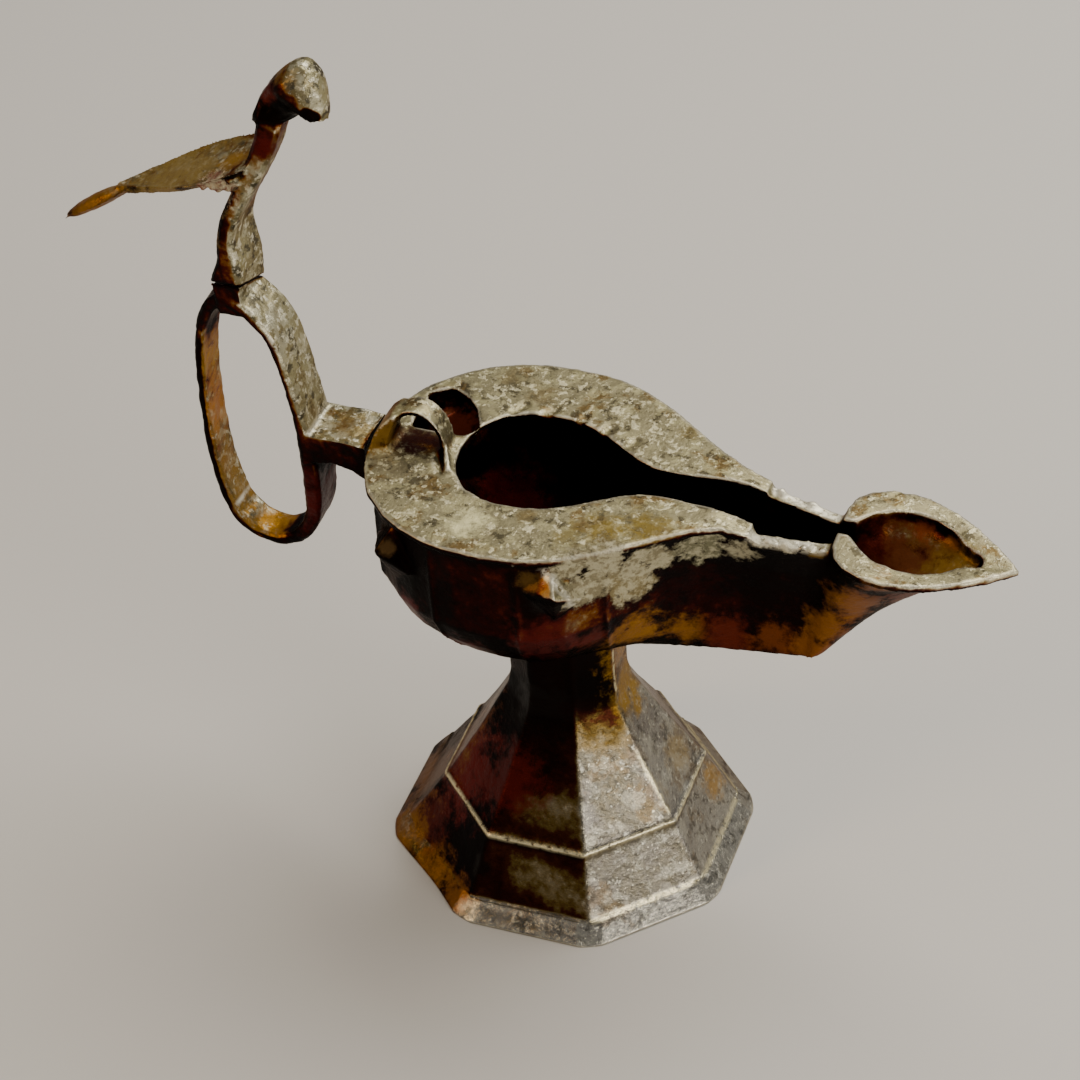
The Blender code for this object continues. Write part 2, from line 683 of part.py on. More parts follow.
def make_link(material):
    # the arm from the ring to the back of the bowl, whose end follows the rim
    columns = 6
    end = -BOWL_BACK - SEAM
    rows = (
        (LINK_START, LINK_DEPTH_RING, 0.0),
        (mix(LINK_START, end, 0.48), mix(LINK_DEPTH_RING, LINK_DEPTH_BOWL, -0.8), 0.0),
        (mix(LINK_START, end, 0.76), mix(LINK_DEPTH_RING, LINK_DEPTH_BOWL, -0.2), 0.0),
        (end, LINK_DEPTH_BOWL, 1.0),
    )
    points = []
    for x, depth, follow in rows:
        for level in (0.0, depth):
            for column in range(columns + 1):
                y = mix(-LINK_HALF, LINK_HALF, column / columns)
                place = x + follow * (rim_back(y) + BOWL_BACK)
                points.append((place, y, LINK_TOP - level))
    width = 2 * (columns + 1)
    ring = list(range(columns + 1)) + [width - 1 - c for c in range(columns + 1)]
    faces = []
    for row in range(len(rows) - 1):
        for i in range(width):
            a = row * width + ring[i]
            b = row * width + ring[(i + 1) % width]
            faces.append((a, b, b + width, a + width))
    for start in (0, (len(rows) - 1) * width):
        for column in range(columns):
            top = start + column
            low = start + columns + 1 + column
            faces.append((top, top + 1, low + 1, low))
    return solid("link", points, faces, material, cutter=True)


def seam_height(y):
    return SEAT_TOP - SEAT_SLANT * y


def make_seat(material):
    # the block below the seam, left taller than the seam so that one cut trims it and the ring
    low = SEAT_TOP - SEAT_DEPTH
    high = seam_height(-SEAT_HALF) + 1.0
    points = []
    for height, inset in ((low, 1.2), (high, 0.0)):
        back = SEAT_BACK + inset
        front = SEAT_FRONT - inset
        half = SEAT_HALF - inset / 2
        points += [(back, -half, height), (front, -half, height), (front, half, height), (back, half, height)]
    faces = [(0, 1, 2, 3), (4, 5, 6, 7)] + band_faces(2, 4)
    return solid("seat", points, faces, material, cutter=True)


def make_seam_cut(material):
    # everything above the slanted seam
    reach = 3 * SEAT_HALF
    middle = (SEAT_BACK + SEAT_FRONT) / 2
    points = []
    for high in (False, True):
        for x, y in ((-reach, -reach), (reach, -reach), (reach, reach), (-reach, reach)):
            points.append((middle + x, y, SEAT_TOP + 2 * reach if high else seam_height(y)))
    faces = [(0, 1, 2, 3), (4, 5, 6, 7)] + band_faces(2, 4)
    return solid("seam_cut", points, faces, material, cutter=True)


def make_bird(material):
    places = [(x, SEAT_TOP + z, thick, half) for x, z, thick, half in BREAST]
    path = curve(places, BREAST_STEPS)
    points = strap_points(path, False)
    for i, (x, y, z) in enumerate(points):
        level = 1 - ease((z - SEAT_TOP) / SLANT_FADE)
        points[i] = (x, y, seam_height(y) + SEAM if i < STRAP_SIDES else z - SEAT_SLANT * y * level)
    count = len(path)
    faces = band_faces(count, STRAP_SIDES)
    last = (count - 1) * STRAP_SIDES
    faces += [tuple(range(STRAP_SIDES)), tuple(range(last, last + STRAP_SIDES))]
    bird = solid("bird", points, faces, material)
    combine(bird, make_head(material), "UNION")
    combine(bird, make_back(material), "UNION")
    combine(bird, make_tail(material), "UNION")
    return bird


def make_head(material):
    # the hooded head: its side outline, narrowing to both sides
    outline = curve([(x, SEAT_TOP + z) for x, z in HEAD], 2, closed=True)
    centre_x = sum(x for x, _ in outline) / len(outline)
    centre_z = sum(z for _, z in outline) / len(outline)
    layers = ((-1.0, 0.42), (-0.84, 0.72), (-0.45, 0.94), (0.0, 1.0), (0.45, 0.94), (0.84, 0.72), (1.0, 0.42))
    points = []
    for side, size in layers:
        for x, z in outline:
            points.append((mix(centre_x, x, size), side * HEAD_HALF, mix(centre_z, z, size)))
    count = len(outline)
    faces = band_faces(len(layers), count)
    faces += [tuple(range(count)), tuple(range((len(layers) - 1) * count, len(layers) * count))]
    return solid("head", points, faces, material, cutter=True)


def leaf_half(share):
    # half width of the back, blunt at the neck and pointed at the tail
    swell = 0.82 + 0.18 * math.sin(math.pi * min(share / 0.7, 1.0))
    return BACK_HALF * swell * (1 - share ** 3.2)


def make_back(material):
    # folded wings: a leaf-shaped plate with a raised border
    steps = 10
    dx = BACK_END[0] - BACK_ROOT[0]
    dz = BACK_END[1] - BACK_ROOT[1]
    length = math.hypot(dx, dz)
    up = (dz / length, -dx / length)
    points = []
    for step in range(steps + 1):
        share = step / steps
        half = max(leaf_half(share), 0.9)
        x = BACK_ROOT[0] + dx * share
        z = SEAT_TOP + BACK_ROOT[1] + dz * share
        field = max(half - BACK_BORDER, 0.3)
        rise = BACK_RELIEF if step < steps else 0.0
        section = ((-half, 0.0), (-field, 0.0), (-field + 0.25, -rise), (field - 0.25, -rise),
                   (field, 0.0), (half, 0.0), (half * 0.8, -BACK_THICK), (-half * 0.8, -BACK_THICK))
        for y, lift in section:
            points.append((x - up[0] * lift, y, z + up[1] * lift + BACK_ROLL * y))
    faces = band_faces(steps + 1, 8)
    faces += [tuple(range(8)), tuple(range(steps * 8, steps * 8 + 8))]
    return solid("back", points, faces, material, cutter=True)


def make_tail(material):
    dx = TAIL_TIP[0] - TAIL_ROOT[0]
    dz = TAIL_TIP[1] - TAIL_ROOT[1]
    points = []
    shares = (0.0, 0.12, 0.3, 0.5, 0.7, 0.88, 1.0)
    for share in shares:
        fullness = math.sin(math.pi * (0.28 + 0.72 * share) ** 1.1)
        half = TAIL_HALF * max(fullness, 0.12)
        thick = TAIL_THICK * max(fullness, 0.2)
        x = TAIL_ROOT[0] + dx * share
        z = SEAT_TOP + TAIL_ROOT[1] + dz * share
        points += [(x, -half, z), (x, 0.0, z + 0.3 * thick), (x, half, z), (x, 0.0, z - 0.7 * thick)]
    faces = band_faces(len(shares), 4)
    last = 4 * (len(shares) - 1)
    faces += [(0, 1, 2, 3), (last, last + 1, last + 2, last + 3)]
    return solid("tail", points, faces, material, cutter=True)


def main():
    clear_scene()
    make_foot(bronze("foot_bronze", (0.30, 0.24, 0.17), 0.45))
    make_bowl(bronze("bowl_bronze", (0.33, 0.30, 0.23), 0.5))
    make_handle(bronze("handle_bronze", (0.34, 0.30, 0.22), 0.5))
    make_bird(bronze("bird_bronze", (0.36, 0.31, 0.22), 0.45))


main()
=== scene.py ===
import math

import bmesh
import bpy
import numpy as np
from mathutils import Matrix, Vector, noise
from mathutils.bvhtree import BVHTree


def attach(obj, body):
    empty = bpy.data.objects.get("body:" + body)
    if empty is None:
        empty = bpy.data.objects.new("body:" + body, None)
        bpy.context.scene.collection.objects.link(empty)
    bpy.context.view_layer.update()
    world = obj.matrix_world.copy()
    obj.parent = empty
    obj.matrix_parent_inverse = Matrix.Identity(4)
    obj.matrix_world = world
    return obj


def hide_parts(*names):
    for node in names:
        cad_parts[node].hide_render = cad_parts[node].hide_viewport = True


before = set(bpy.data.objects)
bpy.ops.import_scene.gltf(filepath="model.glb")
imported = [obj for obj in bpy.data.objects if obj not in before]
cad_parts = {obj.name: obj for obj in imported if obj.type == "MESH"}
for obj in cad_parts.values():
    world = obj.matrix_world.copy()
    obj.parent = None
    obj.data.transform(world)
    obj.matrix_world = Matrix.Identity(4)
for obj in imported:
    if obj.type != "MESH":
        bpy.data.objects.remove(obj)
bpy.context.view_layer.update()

# The lamp is cast bronze, dug up and cleaned. Every piece is a copy of its solid with the crisp
# edges worn away and the skin pitted. Its patina, and the painted light and shade with it, follow the
# tilt and shelter of each face, and its stains, crusts and painted lights and shadows are placed one by
# one.

mm = 0.001
footAxis = 4.3     # the foot's own axis stands this far in front of the middle of the lamp, in mm


def place(x, y, z):
    # a point in millimetres, counted from the foot's axis
    return Vector((x + footAxis, y, z)) * mm


# Camera, floor and light

view = {
    "azimuth": 22.169,
    "elevation": 40.415,
    "roll": -4.201,
    "distance": 746.44,       # mm
    "focal": 3121.2,          # pixels of the photograph's frame
    "frame": 1080,            # pixels
    "sensor": 36.0,           # mm
    "target": (0.0, 0.0, 60.0),     # mm
    "aside": (-6.639, 24.298),      # mm to the right and up
}

studio = {
    "floor": "#cfccc6",
    "floorRough": 0.75,
    "floorSize": 6.0,         # m
    "air": "#eceae6",
    "airStrength": 0.36,
    # name: where it stands (m), where it points (m), size (m), power (W), colour
    "lights": {
        "topSoftbox": ((0.35, 0.55, 1.05), (0.0, 0.0, 0.1), 0.9, 14.0, "#fffaf2"),
        "rightSoftbox": ((1.0, -0.46, 0.36), (0.0, 0.0, 0.06), 0.5, 6.2, "#fff8ee"),
        "leftWarm": ((-0.7, -0.55, 0.5), (-0.02, 0.0, 0.08), 0.3, 2.4, "#ffd7a0"),
    },
}


def viewAxes():
    azimuth, elevation, roll = (math.radians(view[k]) for k in ("azimuth", "elevation", "roll"))
    back = Vector((math.sin(azimuth) * math.cos(elevation), -math.cos(azimuth) * math.cos(elevation),
                   math.sin(elevation)))
    level = Vector((math.cos(azimuth), math.sin(azimuth), 0.0))
    rise = back.cross(level)
    right = math.cos(roll) * level + math.sin(roll) * rise
    up = -math.sin(roll) * level + math.cos(roll) * rise
    return right, up, back


def addCamera():
    right, up, back = viewAxes()
    data = bpy.data.cameras.new("camera")
    data.sensor_width = view["sensor"]
    data.lens = view["focal"] / view["frame"] * view["sensor"]
    data.clip_end = 20.0
    camera = bpy.data.objects.new("camera", data)
    aside = right * view["aside"][0] + up * view["aside"][1]
    spot = place(*view["target"]) + (aside + back * view["distance"]) * mm
    turn = Matrix((right, up, back)).transposed().to_4x4()
    camera.matrix_world = Matrix.Translation(spot) @ turn
    bpy.context.scene.collection.objects.link(camera)
    bpy.context.scene.camera = camera


def linear(colour):
    # an sRGB hex colour as linear values
    parts = [int(colour[i:i + 2], 16) / 255 for i in (1, 3, 5)]
    return [c / 12.92 if c <= 0.04045 else ((c + 0.055) / 1.055) ** 2.4 for c in parts] + [1.0]


def feed(socket, value):
    # an input takes a value, or a link from another node's output
    if isinstance(value, bpy.types.NodeSocket):
        socket.id_data.links.new(value, socket)
    else:
        socket.default_value = value


def addNode(tree, kind, inputs=None, out=0, **settings):
    # adds a node with its settings, and gives one of its outputs for the next node to read
    node = tree.nodes.new("ShaderNode" + kind)
    for name, value in settings.items():
        setattr(node, name, value)
    for name, value in (inputs or {}).items():
        feed(node.inputs[name], value)
    return node.outputs[out]


def addLights():
    world = bpy.data.worlds.new("studioAir")
    world.use_nodes = True
    air = world.node_tree.nodes["Background"]
    feed(air.inputs["Color"], linear(studio["air"]))
    feed(air.inputs["Strength"], studio["airStrength"])
    bpy.context.scene.world = world
    for name, (spot, aim, size, power, colour) in studio["lights"].items():
        data = bpy.data.lights.new(name, "AREA")
        data.size = size
        data.energy = power
        data.color = linear(colour)[:3]
        light = bpy.data.objects.new(name, data)
        light.location = spot
        light.rotation_euler = (Vector(aim) - Vector(spot)).to_track_quat("-Z", "Y").to_euler()
        bpy.context.scene.collection.objects.link(light)


def addFloor():
    shape = bmesh.new()
    bmesh.ops.create_grid(shape, x_segments=1, y_segments=1, size=studio["floorSize"] / 2)
    mesh = bpy.data.meshes.new("floor")
    shape.to_mesh(mesh)
    shape.free()
    floor = bpy.data.objects.new("floor", mesh)
    bpy.context.scene.collection.objects.link(floor)
    paint = bpy.data.materials.new("mattePaintedFloor")   # smooth matte paint: no gloss, no grain
    paint.use_nodes = True
    shader = paint.node_tree.nodes["Principled BSDF"]
    feed(shader.inputs["Base Color"], linear(studio["floor"]))
    feed(shader.inputs["Roughness"], studio["floorRough"])
    mesh.materials.append(paint)


addCamera()
addLights()
addFloor()
print("camera, floor and lights are set")


# Patina

def bronzePatinaAndPaintedLight(name, look):
    # Cast bronze with a burial patina, cleaned: grey-beige and blotched where it lay open, red-black
    # and glossy where it was turned away or sheltered, gold-brown between, and pale worn edges. The same
    # colour paints light and shade: lighter on faces turned toward the light, darker on faces turned away
    # from it and in sheltered hollows, with painted highlights, reflections and shadows in some patches.
    material = bpy.data.materials.new(name)
    material.use_nodes = True
    tree = material.node_tree
    where = addNode(tree, "TexCoord", out="Object")

    def cloud(size, detail, rough=0.6, aside=0.0):
        # soft blotches of a real size in millimetres, around 0.5
        moved = addNode(tree, "Mapping", {
            "Vector": where, "Location": [v + aside for v in look["shift"]]})
        return addNode(tree, "TexNoise", {
            "Vector": moved, "Scale": 1 / (size * mm), "Detail": detail, "Roughness": rough})

    def sway(noiseFac, amount, base):
        # moves a value up and down with a cloud
        centred = addNode(tree, "Math", {0: noiseFac, 1: 0.5}, operation="SUBTRACT")
        return addNode(tree, "Math", {0: centred, 1: amount, 2: base}, operation="MULTIPLY_ADD")

    def past(value, step, share=None):
        # 0 where the step begins and 1 where it is full, and as much of a share if there is one
        shown = addNode(tree, "MapRange", {"Value": value, "From Min": step[0], "From Max": step[1]},
                        interpolation_type="SMOOTHSTEP")
        if share is None:
            return shown
        return addNode(tree, "Math", {0: shown, 1: share}, operation="MULTIPLY")

    def lay(laid, share, strength, under):
        # lays a colour over what is there, where a share of it shows
        shown = addNode(tree, "Math", {0: share, 1: strength}, operation="MULTIPLY")
        return addNode(tree, "Mix", {0: shown, 6: under, 7: linear(laid)}, out=2, data_type="RGBA")

    broad = cloud(look["broad"], 3)
    middle = cloud(look["middle"], 6, 0.65)
    fine = cloud(look["fine"], 5, 0.7)
    grit = cloud(look["grit"], 3)
    facing = addNode(tree, "NewGeometry", out="Normal")
    # the tilt toward this side paints light and shade: faces turned toward the light lighter, faces turned
    # away darker
    tilt = addNode(tree, "VectorMath", {0: facing, 1: Vector(look["litAndOpenSide"]).normalized()},
                   out="Value", operation="DOT_PRODUCT")
    shelter, worn, line, paintedLightAndTone = (addNode(tree, "Attribute", out="Fac", attribute_name=mark)
                                 for mark in ("shelter", "worn", "line", "paintedLightAndTone"))

    # the level says how open the skin lay and how much light falls on it, so it paints light and shade
    # with the patina: low where it is turned away from the light, sheltered (painted shade) or painted
    # darker
    level = addNode(tree, "Math", {0: tilt, 1: 0.5, 2: 0.5}, operation="MULTIPLY_ADD")
    # sheltered places are painted darker: painted shade over the darker patina of hollows
    level = addNode(tree, "Math", {0: shelter, 1: -look["shelterMix"], 2: level}, operation="MULTIPLY_ADD")
    level = addNode(tree, "Math", {0: level, 1: paintedLightAndTone}, operation="ADD")
    still = level
    for noiseFac, amount in ((broad, "broadMix"), (middle, "middleMix"), (fine, "fineMix")):
        level = sway(noiseFac, look[amount], level)
    colour = addNode(tree, "ValToRGB", {"Fac": level}, out="Color")
    stops = colour.node.color_ramp.elements
    while len(stops) < len(look["ramp"]):
        stops.new(0.5)
    for stop, (position, stopColour) in zip(stops, look["ramp"]):
        stop.position = position
        stop.color = linear(stopColour)
    litAndOpenFace = past(level, look["litAndOpenStep"])

    crust = None
    covered = 0.0
    shred = cloud(look["shred"], 6, 0.75, 0.2)
    for kind, centre, size, patchColour, strength in look["patches"]:
        # a ragged blotch round one place: on every face (stains, and painted light and shade), on open and
        # lit faces only, or a raised crust
        apart = addNode(tree, "VectorMath", {0: where, 1: place(*centre)}, out="Value",
                        operation="DISTANCE")
        ragged = sway(middle, -look["patchRagged"] * size * mm, apart)
        ragged = sway(shred, -look["patchShred"] * size * mm, ragged)
        core = look["crustCore"] if kind == "crust" else look["patchCore"]
        spot = past(ragged, (size * mm, core * size * mm), strength)
        if kind == "open":
            spot = past(still, look["openOnly"], spot)
        colour = addNode(tree, "Mix", {0: spot, 6: colour, 7: linear(patchColour)}, out=2,
                         data_type="RGBA")
        covered = addNode(tree, "Math", {0: covered, 1: spot}, operation="MAXIMUM")
        if kind == "crust":
            crust = spot if crust is None else addNode(tree, "Math", {0: crust, 1: spot},
                                                       operation="MAXIMUM")
    quieted = addNode(tree, "Math", {0: covered, 1: -look["calm"], 2: 1.0}, operation="MULTIPLY_ADD")
    bare = addNode(tree, "Math", {0: litAndOpenFace, 1: quieted}, operation="MULTIPLY")
    for number, (size, begins, full, blotchColour, strength) in enumerate(look["blotches"]):
        # stains, dark specks, pale scale and raised flakes in the open skin
        moved = look["blotchShift"] * (number + 1)
        blotch = past(cloud(size, 5, 0.62, moved), (begins, full), bare)
        if number == look["raised"]:
            flakes = blotch
        colour = lay(blotchColour, blotch, strength, colour)
    colour = lay(look["pit"], past(grit, look["pitStep"], litAndOpenFace), look["pitting"], colour)
    colour = lay(look["bright"], past(grit, look["brightStep"], bare), look["speckle"], colour)
    if crust is not None:
        for (size, detail, rough, aside), step, crustColour, strength in look["crustSkin"]:
            flecks = past(cloud(size, detail, rough, aside), step, crust)
            colour = lay(crustColour, flecks, strength, colour)
    edge = past(worn, look["wornStep"], past(level, look["edgeStep"]))
    colour = lay(look["bright"], edge, look["wornMix"], colour)
    # pale lines: worn edges, and painted highlights along lit ridges
    paleLineAndHighlight = past(fine, look["chipStep"], line)
    colour = addNode(tree, "Mix", {0: paleLineAndHighlight, 6: colour, 7: linear(look["lineColour"])}, out=2,
                     data_type="RGBA")

    metallic = addNode(tree, "Math", {0: covered, 1: -look["patchDull"], 2: look["metallic"]},
                       operation="MULTIPLY_ADD")
    rough = addNode(tree, "Math", {
        0: litAndOpenFace, 1: look["openRough"] - look["darkRough"], 2: look["darkRough"]},
        operation="MULTIPLY_ADD")
    rough = sway(middle, look["roughSpread"], rough)
    skin = addNode(tree, "Math", {0: grit, 1: look["gritRise"], 2: fine}, operation="MULTIPLY_ADD")
    skin = addNode(tree, "Math", {0: flakes, 1: look["flakeRise"], 2: skin}, operation="MULTIPLY_ADD")
    relief = addNode(tree, "Bump", {
        "Height": skin, "Strength": look["bump"], "Distance": look["relief"] * mm})
    if crust is not None:
        rough = addNode(tree, "Math", {0: crust, 1: look["crustRough"], 2: rough},
                        operation="MULTIPLY_ADD")
        lumps = addNode(tree, "Math", {0: cloud(look["crustLump"], 5, 0.7, 0.9), 1: crust},
                        operation="MULTIPLY")
        relief = addNode(tree, "Bump", {
            "Height": lumps, "Strength": look["crustBump"],
            "Distance": look["crustRelief"] * mm, "Normal": relief})
    shader = tree.nodes["Principled BSDF"]
    for socket, value in (("Base Color", colour), ("Metallic", metallic), ("Roughness", rough),
                          ("Normal", relief), ("Specular IOR Level", look["sheenOfSkin"]),
                          ("Specular Tint", linear(look["edgeSheen"]))):
        feed(shader.inputs[socket], value)
    return material


# What every piece's skin starts from. A Step is where something begins and where it is full.
bronzeLook = {
    "metallic": 0.80, "patchDull": 0.35, "sheenOfSkin": 0.25, "edgeSheen": "#8a6f55",
    "litAndOpenSide": (0.42, 0.05, 0.90),    # the grey skin grew on faces turned this way, and faces turned this way are painted lighter as if lit from here
    "shift": (0.0, 0.0, 0.0),          # m, so that no two pieces have the same clouds
    "broad": 22.0, "middle": 5.0, "fine": 1.4, "grit": 0.8, "shred": 2.4,    # mm, sizes of the clouds
    "broadMix": 0.20, "middleMix": 0.26, "fineMix": 0.16, "shelterMix": 0.55,
    "litAndOpenStep": (0.60, 0.76), "openOnly": (0.50, 0.60),
    # the ramp runs from black-red where the level is low (dark patina under painted shade) to grey-beige
    # where it is high (patina under painted light)
    "ramp": ((0.0, "#070302"), (0.42, "#120504"), (0.50, "#260a07"), (0.56, "#471a10"),
             (0.61, "#6f4418"), (0.67, "#80663a"), (0.76, "#7b7353"), (0.88, "#877f63"), (1.0, "#9b9473")),
    # size in mm, where it begins and is full, colour, strength
    "blotches": ((12.0, 0.54, 0.62, "#6b5124", 0.75), (3.2, 0.53, 0.62, "#3f392c", 0.75),
                 (5.0, 0.51, 0.60, "#bab287", 0.60), (2.0, 0.54, 0.63, "#e8e0b8", 0.70)),
    "blotchShift": 0.37,               # m between the clouds of one kind of blotch and the next
    "raised": 3, "flakeRise": 0.5,     # the kind of blotch that stands up as flakes, and how far
    "bright": "#ece6cf", "speckle": 0.5, "brightStep": (0.62, 0.72),
    "pit": "#33261a", "pitting": 0.65, "pitStep": (0.40, 0.30),
    "patches": (),                     # kind, centre and size in mm, colour, strength
    "patchRagged": 1.9, "patchShred": 1.3,     # shares of its size that a patch's edge wanders
    "crustCore": 0.6, "patchCore": 0.25,       # share of its size where a patch is at full strength
    "calm": 0.75,                      # how much a patch quiets the mottling over it
    # pale scale and dark cracks in a crust: its cloud, where it begins and is full, colour, strength
    "crustSkin": (((2.8, 5, 0.7, 0.9), (0.42, 0.56), "#cbc4a4", 0.75),
                  ((2.4, 6, 0.75, 0.6), (0.44, 0.36), "#2a1f14", 0.8)),
    "crustRough": 0.25, "crustLump": 1.6, "crustBump": 0.8, "crustRelief": 1.0,    # lump and relief in mm
    "wornStep": (0.35, 0.95), "edgeStep": (0.52, 0.68), "wornMix": 0.4,
    "lineColour": "#cdbd92", "chipStep": (0.36, 0.5),
    "darkRough": 0.30, "openRough": 0.44, "roughSpread": 0.25,
    "bump": 0.45, "relief": 0.38, "gritRise": 0.45,    # relief in mm
}


# Shape

work = {
    "weld": 0.002,            # mm, corners of a solid that are nearer than this become one
    "smoothing": 0.5,         # how far each round moves a point towards its neighbours' middle
    "restFrom": 0.3, "restBand": 1.5,      # mm, the flat underside stays unworn
    "lineFade": 1.6, "paintedLightFade": 2.0,      # how soon a line or a band of painted light and tone is at full strength
    "wearShift": (3.1, 7.7),               # sizes, so that hollows of two sizes don't line up
    "wearRounds": 6, "wearFull": 0.30,     # mm that a fully worn edge stands proud
    "shelterRays": 10,        # rays from each point that measure how sheltered it is
    "shelterReach": 60.0,     # mm
    "shelterLift": 0.9,       # mm from the skin to where a ray starts
    "shelterTilt": 1.02,      # a little over 1, so that no ray runs back into the skin
    "shelterTurn": 2.39996,   # radians from one ray to the next
    "shelterRounds": 12,      # rounds in which the shelter is evened out over its neighbours
}


def solidOf(node):
    # a clean copy of a solid: its triangles joined at their corners
    shape = bmesh.new()
    shape.from_mesh(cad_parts[node].data)
    bmesh.ops.remove_doubles(shape, verts=shape.verts, dist=work["weld"] * mm)
    return shape


def toPiece(shape, name):
    # a finished shape becomes an object that sits at the origin
    mesh = bpy.data.meshes.new(name)
    shape.to_mesh(mesh)
    shape.free()
    piece = bpy.data.objects.new(name, mesh)
    bpy.context.scene.collection.objects.link(piece)
    return piece


def settle(piece):
    # the piece's mesh becomes what its modifiers make of it
    reached = piece.evaluated_get(bpy.context.evaluated_depsgraph_get())
    mesh = bpy.data.meshes.new_from_object(reached)
    piece.modifiers.clear()
    old = piece.data
    piece.data = mesh
    bpy.data.meshes.remove(old)


def castSkin(piece, cast):
    # one closed skin of even fine faces, softened at its edges as worn casting is
    step = piece.modifiers.new("skin", "REMESH")
    step.mode = "VOXEL"
    step.voxel_size = cast["grain"] * mm
    soft = piece.modifiers.new("soften", "SMOOTH")
    soft.factor = work["smoothing"]
    soft.iterations = cast["soften"]
    settle(piece)


def readPoints(mesh, kind):
    # every point's place or its normal, one row each
    values = np.empty(len(mesh.vertices) * 3)
    source = mesh.vertices if kind == "co" else mesh.vertex_normals
    source.foreach_get("co" if kind == "co" else "vector", values)
    return values.reshape(-1, 3)


def weather(piece, cast):
    # shallow hollows and pits, always inwards, so nothing grows past the solid
    mesh = piece.data
    points = readPoints(mesh, "co")
    normals = readPoints(mesh, "normal")
    depth = np.empty(len(points))
    for i, point in enumerate(points):
        total = 0.0
        for size, amount, sharp in cast["wear"]:
            spot = Vector(point) / (size * mm) + Vector((size, *work["wearShift"]))
            value = 0.5 + 0.5 * noise.noise(spot)
            total += amount * max(value, 0.0) ** sharp
        depth[i] = total
    depth *= np.clip((points[:, 2] / mm - work["restFrom"]) / work["restBand"], 0, 1)
    points -= normals * (depth * mm)[:, None]
    mesh.vertices.foreach_set("co", points.ravel())
    mesh.update()


def awayFrom(points, start, end):
    # distance in mm of each point from the straight line between two places
    a, b = (np.array(place(*spot)) for spot in (start, end))
    reach = b - a
    share = np.clip((points - a) @ reach / max(reach @ reach, 1e-12), 0, 1)
    return np.linalg.norm(points - a - share[:, None] * reach, axis=1) / mm


def carve(piece, strokes):
    # each stroke presses the skin along a line: start, end, half width, push (mm) and its direction
    mesh = piece.data
    points = readPoints(mesh, "co")
    for start, end, wide, push, direction in strokes:
        share = np.clip(1 - awayFrom(points, start, end) / wide, 0, 1)
        share = share * share * (3 - 2 * share)       # a soft step
        points += share[:, None] * np.array(Vector(direction).normalized()) * push * mm
    mesh.vertices.foreach_set("co", points.ravel())
    mesh.update()


def addBar(shape, start, end, wide, high):
    # a plain bar from one place to another, which the skin then joins to the rest
    a, b = place(*start), place(*end)
    made = bmesh.ops.create_cube(shape, size=1.0)["verts"]
    bmesh.ops.scale(shape, verts=made, vec=((b - a).length, wide * mm, high * mm))
    turn = (b - a).to_track_quat("X", "Z").to_matrix()
    bmesh.ops.rotate(shape, verts=made, cent=(0, 0, 0), matrix=turn)
    bmesh.ops.translate(shape, verts=made, vec=(a + b) / 2)


def addLump(shape, spot, radii, lean=0.0):
    # a rounded lump that leans by an angle in degrees, its front end up
    made = bmesh.ops.create_icosphere(shape, subdivisions=3, radius=mm)["verts"]
    bmesh.ops.scale(shape, verts=made, vec=radii)
    turn = Matrix.Rotation(-math.radians(lean), 3, "Y")
    bmesh.ops.rotate(shape, verts=made, cent=(0, 0, 0), matrix=turn)
    bmesh.ops.translate(shape, verts=made, vec=place(*spot))


def addSlab(shape, outline, near, slant, far):
    # an upright slab with its outline in x and z, from a slanted near end to one y
    corners = [shape.verts.new(place(x, near + slant * (x - outline[0][0]), z)) for x, z in outline]
    face = shape.faces.new(corners)
    made = bmesh.ops.extrude_face_region(shape, geom=[face])["geom"]
    grown = [item for item in made if isinstance(item, bmesh.types.BMVert)]
    for corner in grown:
        corner.co.y = far * mm
    bmesh.ops.recalc_face_normals(shape, faces=shape.faces)


def along(spots, *rest):
    # one straight stroke for each pair of neighbouring spots, with the rest the same
    return [(start, end, *rest) for start, end in zip(spots, spots[1:])]


def keepMark(mesh, name, values):
    # one value for each point, which the material reads
    attribute = mesh.attributes.new(name, "FLOAT", "POINT")
    attribute.data.foreach_set("value", np.asarray(values, dtype=np.float32))


def markLinesAndPaintedLight(piece, cast):
    # where a thin pale line runs (start, end, half width in mm), worn edges and painted highlights, and
    # where the skin is painted lighter or darker than its tilt alone makes it, mostly painted light and
    # shade (the same with an amount)
    points = readPoints(piece.data, "co")
    mark = np.zeros(len(points))
    for start, end, wide in cast["lines"]:
        near = 1 - awayFrom(points, start, end) / wide
        mark = np.maximum(mark, np.clip(work["lineFade"] * near, 0, 1))
    paintedLightAndTone = np.zeros(len(points))
    for start, end, wide, amount in cast["paintedLightAndTones"]:
        near = 1 - awayFrom(points, start, end) / wide
        paintedLightAndTone += amount * np.clip(work["paintedLightFade"] * near, 0, 1)
    keepMark(piece.data, "line", mark)
    keepMark(piece.data, "paintedLightAndTone", paintedLightAndTone)


def evened(mesh, values, rounds):
    # each point's values become the mean of its neighbours' ones, round after round
    count = len(mesh.vertices)
    edges = np.empty(len(mesh.edges) * 2, dtype=np.int64)
    mesh.edges.foreach_get("vertices", edges)
    edges = edges.reshape(-1, 2)
    ends = np.concatenate([edges[:, 0], edges[:, 1]])
    others = np.concatenate([edges[:, 1], edges[:, 0]])
    degree = np.maximum(np.bincount(ends, minlength=count), 1)
    for _ in range(rounds):
        values = np.stack([np.bincount(ends, column[others], count) / degree for column in values.T], 1)
    return values


def markWear(piece):
    # where edges stand proud, from how far each point lies outside its neighbours' middle
    mesh = piece.data
    start = readPoints(mesh, "co")
    outward = start - evened(mesh, start, work["wearRounds"])
    proud = (outward * readPoints(mesh, "normal")).sum(1) / mm
    keepMark(mesh, "worn", np.clip(proud / work["wearFull"], 0, 1))


def allSolids():
    # the whole lamp, for rays to meet
    shape = bmesh.new()
    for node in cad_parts.values():
        shape.from_mesh(node.data)
    tree = BVHTree.FromBMesh(shape)
    shape.free()
    return tree


